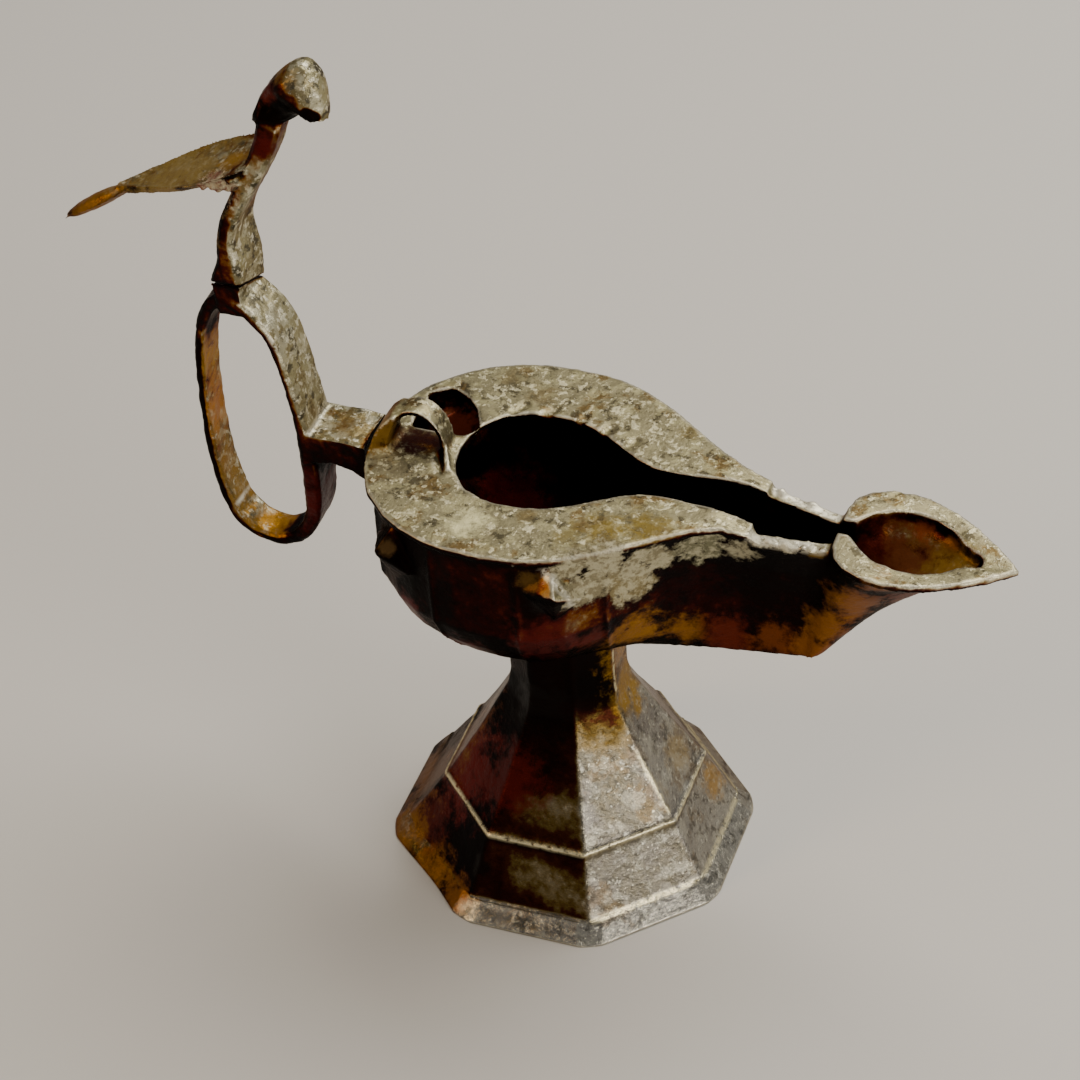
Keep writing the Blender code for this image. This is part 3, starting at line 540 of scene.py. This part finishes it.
def markShelter(piece, tree):
    # how much of the sky above each point is hidden by the lamp itself, which the material paints as shade
    # over darker patina
    mesh = piece.data
    points = readPoints(mesh, "co")
    normals = readPoints(mesh, "normal")
    rays = work["shelterRays"]
    spread = []
    for k in range(rays):
        height = 1 - (k + 0.5) / rays
        turn = k * work["shelterTurn"]
        flat = math.sqrt(1 - height * height)
        spread.append(Vector((flat * math.cos(turn), flat * math.sin(turn), height)))
    shelter = np.zeros((len(points), 1))
    for i in range(len(points)):
        normal = Vector(normals[i])
        start = Vector(points[i]) + normal * work["shelterLift"] * mm
        hidden = 0
        for ray in spread:
            ray = (ray + normal * work["shelterTilt"]).normalized()
            if tree.ray_cast(start, ray, work["shelterReach"] * mm)[0] is not None:
                hidden += 1
        shelter[i] = hidden / rays
    keepMark(mesh, "shelter", evened(mesh, shelter, work["shelterRounds"])[:, 0])


def finishPiece(piece, node, cast, material, tree):
    # every piece goes through the same work, from its plain copy to what stands for the node
    castSkin(piece, cast)
    if "reshape" in cast:
        cast["reshape"](piece)
    carve(piece, cast["strokes"])
    weather(piece, cast)
    if cast["keep"] < 1.0:
        thin = piece.modifiers.new("thin", "DECIMATE")
        thin.ratio = cast["keep"]
        settle(piece)
    markWear(piece)
    markLinesAndPaintedLight(piece, cast)
    markShelter(piece, tree)
    piece.data.shade_smooth()
    piece.data.materials.clear()
    piece.data.materials.append(material)
    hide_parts(node)
    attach(piece, "root")
    print(piece.name, len(piece.data.polygons), "faces")


solids = allSolids()

# Foot

footSides = 8
footTurns = [math.tau * (side + 0.5) / footSides for side in range(footSides)]


def footRing(radius, height):
    # the foot's corners at one height, in mm from its axis
    return [(radius * math.cos(turn), radius * math.sin(turn), height) for turn in footTurns]


moulding = footRing(32.6, 20.0)     # the line round the foot
shoulder = footRing(40.4, 4.7)      # the corner above the turned-out edge
brim = footRing(43.0, 2.4)          # the middle of that edge

footEdge = {
    "radius": 45.0, "top": 4.6, "shoulder": 40.6,    # mm, the sloping turned-out edge
    "bend": 1.25,          # 1 is a straight slope
    "blunting": 1.028,     # how much the corners are worn off
}


def slopeEdge(piece):
    # draws the base's upright edge in to one worn slope, up to its shoulder
    points = readPoints(piece.data, "co")
    flat = points[:, :2] / mm - np.array([footAxis, 0.0])
    sides = np.array([(math.cos(math.tau * k / footSides), math.sin(math.tau * k / footSides))
                      for k in range(footSides)])
    reach = (flat @ sides.T).max(1) / math.cos(math.pi / footSides)
    height = np.clip(points[:, 2] / mm / footEdge["top"], 0, 1)
    limit = footEdge["radius"] - (footEdge["radius"] - footEdge["shoulder"]) * height ** footEdge["bend"]
    reach = np.maximum(reach, np.linalg.norm(flat, axis=1) * footEdge["blunting"])
    inside = (points[:, 2] / mm < footEdge["top"]) & (reach > limit)
    shrink = np.where(inside, limit / np.maximum(reach, 1e-6), 1.0)
    points[:, :2] = (flat * shrink[:, None] + np.array([footAxis, 0.0])) * mm
    piece.data.vertices.foreach_set("co", points.ravel())
    piece.data.update()


footCast = {
    # size of the skin's faces in mm, rounds of softening, share of the faces kept
    "grain": 0.56, "soften": 5, "keep": 0.9, "reshape": slopeEdge,
    # size of the hollows, depth (both mm) and how sharply they are cut
    "wear": ((16.0, 0.35, 1.0), (5.0, 0.16, 1.5), (1.8, 0.12, 3.0)),
    # the base is a little drawn out toward the back on the real one
    "strokes": (((-41.0, -17.0, 2.0), (-41.0, 17.0, 2.0), 24.0, 3.0, (-1.0, 0.0, 0.0)),),
    # start, end, half width
    "lines": [
        *along(moulding + moulding[:1], 0.9),
        *along([shoulder[i] for i in (6, 7, 0, 1)], 1.0),
        # painted highlights down the bell's front ridge and the stem's front
        ((16.7, -7.6, 39.7), (28.4, -12.0, 22.0), 0.8),
        ((13.3, -4.4, 64.0), (13.3, -4.4, 52.0), 0.8),
    ],
    # start, end, half width and how much lighter or darker it is painted
    "paintedLightAndTones": [
        *[(brim[i], brim[(i + 1) % footSides], 4.4, amount)
          for i, amount in ((5, 0.55), (6, 0.45), (7, 0.30), (0, 0.30), (3, 0.2), (4, 0.2))],
        ((10.2, -9.6, 68.0), (10.2, -9.6, 56.0), 8.0, -0.45),
        ((10.6, -9.6, 56.0), (11.5, -10.5, 45.0), 9.0, -0.16),
        # a painted highlight beside the bell's front ridge
        ((19.5, -8.2, 36.0), (26.0, -10.8, 25.0), 3.4, 0.10),
        ((-3.0, -25.4, 27.5), (9.0, -26.0, 26.0), 6.0, 0.11),
        ((4.0, -25.0, 30.0), (10.0, -22.0, 34.0), 4.0, 0.06),
        ((-2.0, -33.4, 13.0), (12.0, -34.5, 10.0), 6.5, 0.09),
    ],
}
footLook = {
    **bronzeLook, "shift": (0.013, 0.2, 0.05), "litAndOpenSide": (0.80, 0.25, 0.52),
    "darkRough": 0.24, "openRough": 0.22, "shelterMix": 0.30, "lineColour": "#d5cba6",
    "ramp": ((0.0, "#070302"), (0.42, "#120504"), (0.50, "#240b07"), (0.56, "#35180c"),
             (0.61, "#54441f"), (0.67, "#71644a"), (0.76, "#656052"), (0.88, "#74706a"), (1.0, "#928f86")),
    "blotches": ((12.0, 0.55, 0.62, "#6b5124", 0.35), (3.2, 0.52, 0.64, "#3c3a34", 0.65),
                 (5.0, 0.51, 0.60, "#b9b6a6", 0.30), (1.6, 0.56, 0.64, "#dedbcb", 0.30)),
    "flakeRise": 0.25,
    "patches": (
        # the gold along the turned-out edge, a painted warm reflection on the brown bronze, and up the
        # stem's back
        ("onEveryFace", (-15.0, -2.0, 48.0), 6.0, "#7c5016", 0.8),
        ("onEveryFace", (-43.0, 2.0, 4.0), 12.0, "#74501e", 0.8),
        ("onEveryFace", (-30.0, -31.0, 2.6), 10.0, "#8a5a14", 0.95),
        ("onEveryFace", (-20.0, -36.5, 2.7), 6.5, "#7e4f1a", 0.85),
        # dark red patina of the two panels turned away from the light, and painted shade in black on them
        ("onEveryFace", (-23.3, -14.0, 25.6), 17.0, "#5c130b", 0.9),
        ("onEveryFace", (-10.0, -22.0, 32.0), 13.0, "#4a0f0a", 0.85),
        ("onEveryFace", (-1.6, -14.1, 49.1), 11.0, "#050202", 0.95),
        ("onEveryFace", (-13.6, -33.8, 11.7), 4.0, "#080303", 0.9),
        ("onEveryFace", (-32.4, -17.7, 8.4), 10.0, "#4a140a", 0.85),
        # the brown panel at the back
        ("onEveryFace", (-41.5, -17.0, 2.6), 12.0, "#80561c", 0.9),
        ("onEveryFace", (-38.0, -4.0, 11.0), 15.0, "#6e4c22", 0.8),
        ("onEveryFace", (-30.0, -2.0, 24.0), 15.0, "#6e4c22", 0.8),
        ("onEveryFace", (-22.0, -1.0, 36.0), 12.0, "#6e4c22", 0.8),
        # gold on the stem's front, a painted warm reflection, and gold in the grey
        ("onEveryFace", (15.0, 0.5, 62.0), 10.0, "#8f6812", 0.95),
        ("onEveryFace", (16.5, 1.0, 50.0), 11.0, "#82631c", 0.95),
        ("open", (25.7, 3.7, 26.8), 7.0, "#857040", 0.6),
        ("open", (32.5, 9.5, 14.2), 7.0, "#8c6a2a", 0.8),
    ),
}

foot = toPiece(solidOf("foot"), "octagonalFoot")
finishPiece(foot, "foot", footCast, bronzePatinaAndPaintedLight("bronzeFootPatinaAndPaintedLight", footLook), solids)

# Bowl

bowlCast = {
    "grain": 0.62, "soften": 2, "keep": 0.64,
    "wear": ((18.0, 0.25, 1.0), (6.0, 0.20, 1.5), (1.8, 0.14, 3.0)),
    "strokes": (
        # slit beside the loop's foot
        ((-27.4, -4.2, 114.5), (-24.4, -9.6, 114.5), 1.1, 2.2, (0.0, 0.0, -1.0)),
        # chips along the channel's walls
        ((50.8, -9.5, 112.5), (51.2, -6.5, 112.5), 1.9, 2.2, (0.1, 0.3, -1.0)),
        ((55.0, -9.2, 112.0), (55.2, -6.5, 112.0), 1.5, 1.4, (0.0, 0.2, -1.0)),
        ((58.8, -8.6, 111.5), (59.0, -6.0, 111.5), 1.9, 1.9, (0.0, 0.2, -1.0)),
        ((62.8, -8.0, 110.5), (63.0, -5.2, 110.5), 1.8, 2.4, (0.0, 0.2, -1.0)),
        ((52.8, 9.4, 112.5), (53.0, 6.5, 112.5), 1.6, 1.4, (0.0, -0.2, -1.0)),
        ((57.0, 9.0, 111.9), (57.0, 6.2, 111.9), 1.3, 1.0, (0.0, -0.2, -1.0)),
        ((61.0, 8.6, 111.3), (61.0, 5.8, 111.3), 1.7, 1.7, (0.0, -0.2, -1.0)),
        # the mouth's gnawed far edge
        ((-16.0, 15.6, 115.0), (-14.0, 18.6, 115.0), 1.8, 0.9, (0.2, 0.6, -0.6)),
        ((-8.0, 16.2, 115.0), (-7.0, 18.8, 115.0), 2.2, 1.1, (0.1, 0.7, -0.6)),
        ((0.0, 15.2, 115.0), (1.0, 17.4, 115.0), 1.8, 0.9, (-0.1, 0.7, -0.6)),
        ((7.0, 13.6, 115.0), (8.0, 15.8, 115.0), 2.2, 1.0, (-0.2, 0.7, -0.6)),
        ((14.0, 10.6, 115.0), (15.0, 12.6, 115.0), 1.8, 0.9, (-0.2, 0.7, -0.6)),
    ),
    "lines": [
        # the near edge of the rim
        *along(((2.0, -35.2, 113.2), (12.0, -34.2, 113.2), (22.0, -29.8, 113.2), (32.0, -22.0, 113.2),
                (40.0, -15.6, 112.6), (48.5, -10.6, 111.2)), 0.8),
        # the tops of the channel's two walls
        ((49.0, -8.6, 111.2), (64.0, -5.8, 109.6), 2.2),
        ((50.0, 8.6, 111.2), (65.0, 5.6, 109.4), 2.0),
        # the strip at the loop's foot
        ((-24.6, -3.0, 121.0), (-22.6, -9.8, 116.6), 1.2),
        # painted highlights along the near boss's ridges
        *along(((9.4, -36.2, 110.6), (13.0, -37.2, 105.0), (16.0, -34.4, 101.6)), 1.1),
        ((8.6, -31.6, 110.4), (11.5, -32.4, 107.7), 1.5),
        ((11.5, -32.4, 107.7), (13.6, -30.4, 100.7), 1.3),
    ],
    # painted shade round and below the two near bosses, and darker in the nozzle's well
    "paintedLightAndTones": [
        ((-33.0, -31.0, 106.0), (-28.0, -31.0, 101.0), 7.0, -0.6),
        ((4.0, -32.6, 108.0), (6.0, -32.6, 101.0), 5.0, -0.15),
        ((76.0, 2.0, 103.6), (94.0, 2.0, 106.4), 9.0, -0.2),
    ],
    # thin strip from the loop's front foot: start, end, width, height
    "strip": ((-26.0, -2.4, 116.2), (-22.6, -9.8, 115.0), 1.5, 2.6),
    # the loop's back flank, sloping down to the rim's back edge: outline in x and z, y of its near
    # end, slant of that end, y of its far end
    "flank": (((-43.2, 113.6), (-42.9, 116.4), (-41.9, 119.6), (-40.2, 122.2), (-38.2, 124.0),
               (-36.6, 124.4), (-36.6, 122.4), (-37.8, 120.2), (-38.7, 117.0), (-38.9, 113.6)),
              -8.3, 0.5, 3.2),
    # lumps left on the channel's walls: place, radii
    "lumps": (
        ((50.4, -9.0, 111.3), (1.5, 1.1, 0.9)), ((53.0, -8.6, 111.0), (1.1, 0.9, 0.7)),
        ((56.8, -8.0, 110.4), (1.5, 1.0, 0.8)), ((60.6, -7.5, 109.9), (1.2, 0.9, 0.7)),
        ((51.0, 8.6, 111.4), (1.3, 1.0, 0.8)), ((58.6, 7.4, 110.3), (1.2, 0.9, 0.7)),
    ),
}
bowlLook = {
    **bronzeLook, "shift": (0.4, 0.03, 0.01), "lineColour": "#e4dfca", "calm": 0.88,
    "patches": (
        # the hinge loop in gold, a painted warm reflection, and painted shade on the rim below it
        ("onEveryFace", (-40.5, -5.0, 119.0), 7.5, "#8c6a26", 0.9),
        ("onEveryFace", (-36.0, 7.0, 122.0), 7.0, "#8f6a2c", 0.6),
        ("onEveryFace", (-35.5, -0.5, 115.0), 6.5, "#2c0c08", 0.97),
        ("onEveryFace", (-30.0, 0.5, 115.0), 6.5, "#2c0c08", 0.97),
        ("onEveryFace", (-33.0, -3.6, 115.0), 5.0, "#2c0c08", 0.97),
        # the rim
        ("open", (10.5, -22.4, 115.0), 5.0, "#786a38", 0.7),
        ("open", (18.0, -19.4, 115.0), 8.0, "#7c692c", 0.9),
        ("open", (26.5, -16.0, 115.0), 8.0, "#7c692c", 0.9),
        ("open", (-0.3, -18.5, 115.0), 3.6, "#6e5c34", 0.7),
        ("open", (-12.1, -24.5, 115.0), 6.0, "#e2dba8", 0.95),
        ("open", (-20.6, 27.7, 115.0), 5.0, "#6b5a34", 0.6),
        ("open", (-11.4, 23.1, 115.0), 5.0, "#6e5c38", 0.6),
        ("open", (28.0, 21.0, 115.0), 6.0, "#6e5c2a", 0.75),
        # the bowl's near side and the channel's belly, from the back to the nozzle: painted red light
        # along the lower edge at the back, dark red patina in the middle, and gold on the belly and keel,
        # a painted warm reflection
        ("onEveryFace", (-28.0, -27.1, 86.0), 9.0, "#5a1410", 0.9),
        ("onEveryFace", (-14.0, -28.0, 79.0), 9.0, "#5a1410", 0.9),
        ("onEveryFace", (7.0, -31.1, 89.0), 11.0, "#4c0f0a", 0.85),
        ("onEveryFace", (15.5, -23.1, 84.0), 6.0, "#5a1a0c", 0.80),
        ("onEveryFace", (23.0, -14.0, 81.0), 9.5, "#8d5f14", 0.95),
        ("onEveryFace", (33.0, -8.0, 77.0), 7.0, "#85560f", 0.85),
        ("onEveryFace", (41.2, -4.0, 76.6), 9.0, "#5c1f0a", 0.80),
        ("onEveryFace", (52.0, -3.8, 76.0), 8.0, "#6a350d", 0.85),
        ("onEveryFace", (61.5, -3.6, 75.5), 7.0, "#7d4a12", 0.9),
        ("onEveryFace", (66.0, -4.4, 84.0), 8.0, "#804f10", 0.85),
        ("onEveryFace", (72.5, -6.0, 94.0), 10.0, "#80510f", 0.90),
        ("onEveryFace", (79.0, -12.0, 106.0), 7.0, "#86540f", 0.85),
        # the nozzle's well, and the walls of the channel
        ("onEveryFace", (76.0, 3.0, 100.5), 11.0, "#4a150b", 0.95),
        ("onEveryFace", (83.0, 2.5, 100.5), 11.0, "#66361a", 0.97),
        ("onEveryFace", (92.0, 2.5, 102.0), 8.5, "#83601c", 0.95),
        ("onEveryFace", (84.0, 10.0, 106.0), 4.4, "#7a3c18", 0.95),
        ("onEveryFace", (92.0, 7.5, 105.5), 4.0, "#7a4a18", 0.95),
        ("onEveryFace", (63.6, -7.3, 108.5), 2.5, "#7a5f1c", 0.80),
        ("crust", (51.5, -8.6, 112.0), 3.4, "#cdc7b0", 0.9),
        ("crust", (57.5, -7.8, 111.0), 3.4, "#cdc7b0", 0.9),
        # the inside, seen through the mouth and the break
        ("onEveryFace", (-19.8, 24.0, 83.2), 11.0, "#5c0d0b", 0.95),
        ("onEveryFace", (-33.0, 21.0, 104.0), 9.0, "#7a3420", 0.95),
        # round the two near bosses: painted light on their upper faces, and painted shadow in black below
        # them
        ("onEveryFace", (5.0, -32.6, 108.0), 4.0, "#5e451c", 0.65),
        ("onEveryFace", (-30.6, -29.2, 106.6), 2.6, "#5e4628", 0.7),
        ("onEveryFace", (6.0, -32.3, 100.5), 4.6, "#060202", 0.95),
        ("onEveryFace", (11.1, -33.6, 101.7), 2.6, "#060202", 0.95),
        # the crust below the rim's near edge
        ("crust", (20.5, -25.0, 110.0), 7.0, "#8e8568", 0.95),
        ("crust", (13.6, -30.0, 111.0), 5.0, "#8e8568", 0.95),
        ("crust", (17.6, -24.4, 103.5), 8.0, "#8e8568", 0.95),
        ("crust", (24.0, -18.0, 99.0), 8.0, "#8a7d58", 0.95),
        ("crust", (27.0, -17.0, 106.0), 8.0, "#8e8568", 0.95),
        ("crust", (37.0, -10.9, 107.0), 6.5, "#7d7a5f", 0.9),
        ("crust", (46.0, -7.0, 106.0), 4.6, "#76705a", 0.75),
    ),
}

bowlShape = solidOf("bowl")
addBar(bowlShape, *bowlCast["strip"])
addSlab(bowlShape, *bowlCast["flank"])
for spot, radii in bowlCast["lumps"]:
    addLump(bowlShape, spot, radii)
bowl = toPiece(bowlShape, "coveredBowl")
finishPiece(bowl, "bowl", bowlCast, bronzePatinaAndPaintedLight("bronzeBowlPatinaAndPaintedLight", bowlLook), solids)

# Ring handle

ringCast = {
    "grain": 0.40, "soften": 2, "keep": 1.0,
    "wear": ((12.0, 0.25, 1.0), (4.0, 0.50, 1.8), (1.4, 0.24, 3.0)),
    "strokes": (
        # ridge across the ring's floor
        ((-78.0, -6.0, 84.5), (-76.5, 6.0, 84.5), 2.6, 0.8, (0.3, 0.0, 0.9)),
        # the arm dips to the rim
        ((-44.6, -7.0, 116.0), (-44.6, 7.0, 116.0), 5.0, 0.6, (0.0, 0.0, -1.0)),
        # groove up the strap's middle
        ((-56.5, 0.0, 123.0), (-61.0, 0.0, 141.0), 1.6, 0.35, (-1.0, 0.0, 0.0)),
    ),
    "paintedLightAndTones": [
        ((-61.0, -3.0, 131.5), (-58.5, -3.0, 118.0), 7.0, 0.10),
        # painted shade along the near edge of the ring's back and floor
        *along(((-84.0, -7.2, 136.0), (-86.2, -7.2, 114.0), (-84.0, -7.2, 92.0), (-75.0, -7.2, 80.0),
                (-63.0, -7.2, 80.5)), 3.0, -0.3),
    ],
    "lines": [
        # painted highlights along the floor's ridge and the strap
        ((-80.9, -6.5, 88.1), (-80.4, 6.5, 87.6), 1.0),
        *along(((-56.4, -6.7, 117.5), (-60.5, -6.7, 133.0), (-67.5, -6.7, 148.5)), 0.8),
        ((-56.6, 3.4, 119.0), (-59.4, 3.2, 133.0), 0.9),
        ((-58.2, -7.0, 116.2), (-58.0, 7.0, 116.6), 1.0),
    ],
}
# harder specks than the bowl's, because the ring and the bird have the roughest skin
ringBlotches = ((9.0, 0.54, 0.60, "#6b5a38", 0.5), (3.6, 0.52, 0.60, "#4a473c", 0.85),
                (5.0, 0.50, 0.58, "#bdb89d", 0.7), (2.0, 0.53, 0.62, "#ece7cd", 0.7))
ringLook = {
    **bronzeLook, "shift": (0.1, 0.5, 0.3), "litAndOpenSide": (0.75, 0.0, 0.66), "lineColour": "#ded9c6",
    "blotches": ringBlotches, "speckle": 0.7, "calm": 0.8, "openRough": 0.38,
    "patches": (
        # gold down the inside of the ring's back and along its floor, a painted warm reflection on the
        # bronze
        ("open", (-83.0, -0.8, 131.0), 10.0, "#a0741c", 0.9),
        ("open", (-84.3, 0.0, 114.6), 12.0, "#a06816", 0.9),
        ("open", (-83.6, -1.5, 99.0), 10.0, "#866222", 0.85),
        ("open", (-80.5, 0.0, 88.5), 10.0, "#8a6a2e", 0.9),
        ("open", (-73.0, 0.0, 81.0), 12.0, "#8f6414", 0.95),
        # dark red below the arm, and brown on top of it
        ("onEveryFace", (-57.8, -2.0, 94.0), 14.0, "#4a0b08", 0.95),
        ("open", (-50.0, 0.0, 115.6), 8.0, "#857042", 0.6),
    ),
}

ring = toPiece(solidOf("handle"), "ringHandle")
finishPiece(ring, "handle", ringCast, bronzePatinaAndPaintedLight("bronzeHandlePatinaAndPaintedLight", ringLook), solids)

# Bird

birdCast = {
    "grain": 0.33, "soften": 2, "keep": 1.0,
    "wear": ((10.0, 0.20, 1.0), (3.0, 0.28, 1.5), (1.2, 0.18, 3.0)),
    "strokes": (
        # hollow cheeks
        ((-58.5, -5.6, 203.0), (-55.5, -5.6, 201.0), 6.0, 2.4, (0.0, 1.0, 0.0)),
        ((-58.5, 5.6, 203.0), (-55.5, 5.6, 201.0), 6.0, 2.4, (0.0, -1.0, 0.0)),
        # notch below the beak
        ((-50.2, -4.5, 200.0), (-49.4, 4.5, 202.2), 1.5, 1.0, (0.0, 0.0, 1.0)),
        # line across the back's root
        ((-72.5, -8.5, 187.0), (-72.5, 8.5, 188.0), 0.9, 0.5, (0.0, 0.0, -1.0)),
    ),
    # painted highlight on the brow and breast, painted light down the pale neck, and painted shade in the
    # beak's dark notch
    "paintedLightAndTones": [
        ((-50.5, -2.5, 212.0), (-47.5, -2.0, 206.0), 5.5, 0.22),
        ((-70.0, -4.0, 160.0), (-66.0, -2.0, 172.0), 7.0, 0.12),
        ((-49.4, -4.6, 203.4), (-48.8, -3.6, 202.4), 2.2, -0.6),
        ((-62.2, -4.4, 185.5), (-66.0, -4.6, 175.0), 6.5, 0.20),
    ],
    # the leaf-shaped back's far edge and near edge
    "lines": [
        *along(((-69.0, 8.6, 189.0), (-84.0, 8.6, 183.0), (-96.0, 5.6, 177.6), (-101.0, 1.0, 174.4)), 1.1),
        ((-78.0, -8.4, 183.0), (-92.0, -7.4, 177.0), 0.8),
    ],
    # crumbs of corrosion below the near shoulder: place, radius; and how flat they are
    "crumbs": (
        ((-69.8, -5.6, 183.6), 1.3), ((-71.6, -6.4, 182.8), 1.2), ((-73.6, -6.8, 182.2), 1.0),
        ((-70.4, -5.4, 181.6), 1.2), ((-75.8, -7.2, 181.8), 0.8), ((-72.6, -6.2, 181.2), 0.9),
        ((-68.6, -5.0, 183.0), 1.3),
    ),
    "crumbFlat": 0.8,
    # the tail feather's round body: place, radii, lean in degrees
    "feather": ((-107.0, 0.0, 168.5), (10.6, 2.5, 1.9), 33.0),
}
birdLook = {
    **bronzeLook, "shift": (0.2, 0.1, 0.7), "litAndOpenSide": (0.70, 0.0, 0.71), "lineColour": "#bda974",
    "blotches": ringBlotches, "speckle": 0.7, "calm": 0.9, "openRough": 0.38,
    "patches": (
        # the leaf-shaped back and the tail feather
        ("onEveryFace", (-86.0, 0.0, 181.0), 20.0, "#86703a", 0.95),
        ("onEveryFace", (-71.0, -1.0, 186.0), 5.0, "#8f6a1c", 0.9),
        ("onEveryFace", (-107.0, 0.0, 168.0), 13.0, "#855c16", 0.95),
        # the head's near cheek in painted shade, its brow, and the neck below it, dark red partly as
        # painted shade
        ("onEveryFace", (-56.8, -6.0, 203.5), 6.5, "#050202", 0.97),
        ("onEveryFace", (-60.5, -3.0, 207.0), 4.6, "#5a1a0c", 0.85),
        ("onEveryFace", (-57.0, -0.8, 211.0), 3.6, "#8a6a24", 0.70),
        ("onEveryFace", (-60.5, -4.6, 192.5), 6.0, "#4d0e09", 0.90),
        # corrosion round the crumbs
        ("crust", (-73.0, -6.6, 181.0), 5.0, "#7b4a3e", 0.85),
    ),
}

birdShape = solidOf("bird")
for spot, radius in birdCast["crumbs"]:
    addLump(birdShape, spot, (radius, radius, birdCast["crumbFlat"] * radius))
addLump(birdShape, *birdCast["feather"])
bird = toPiece(birdShape, "birdOnRing")
finishPiece(bird, "bird", birdCast, bronzePatinaAndPaintedLight("bronzeBirdPatinaAndPaintedLight", birdLook), solids)
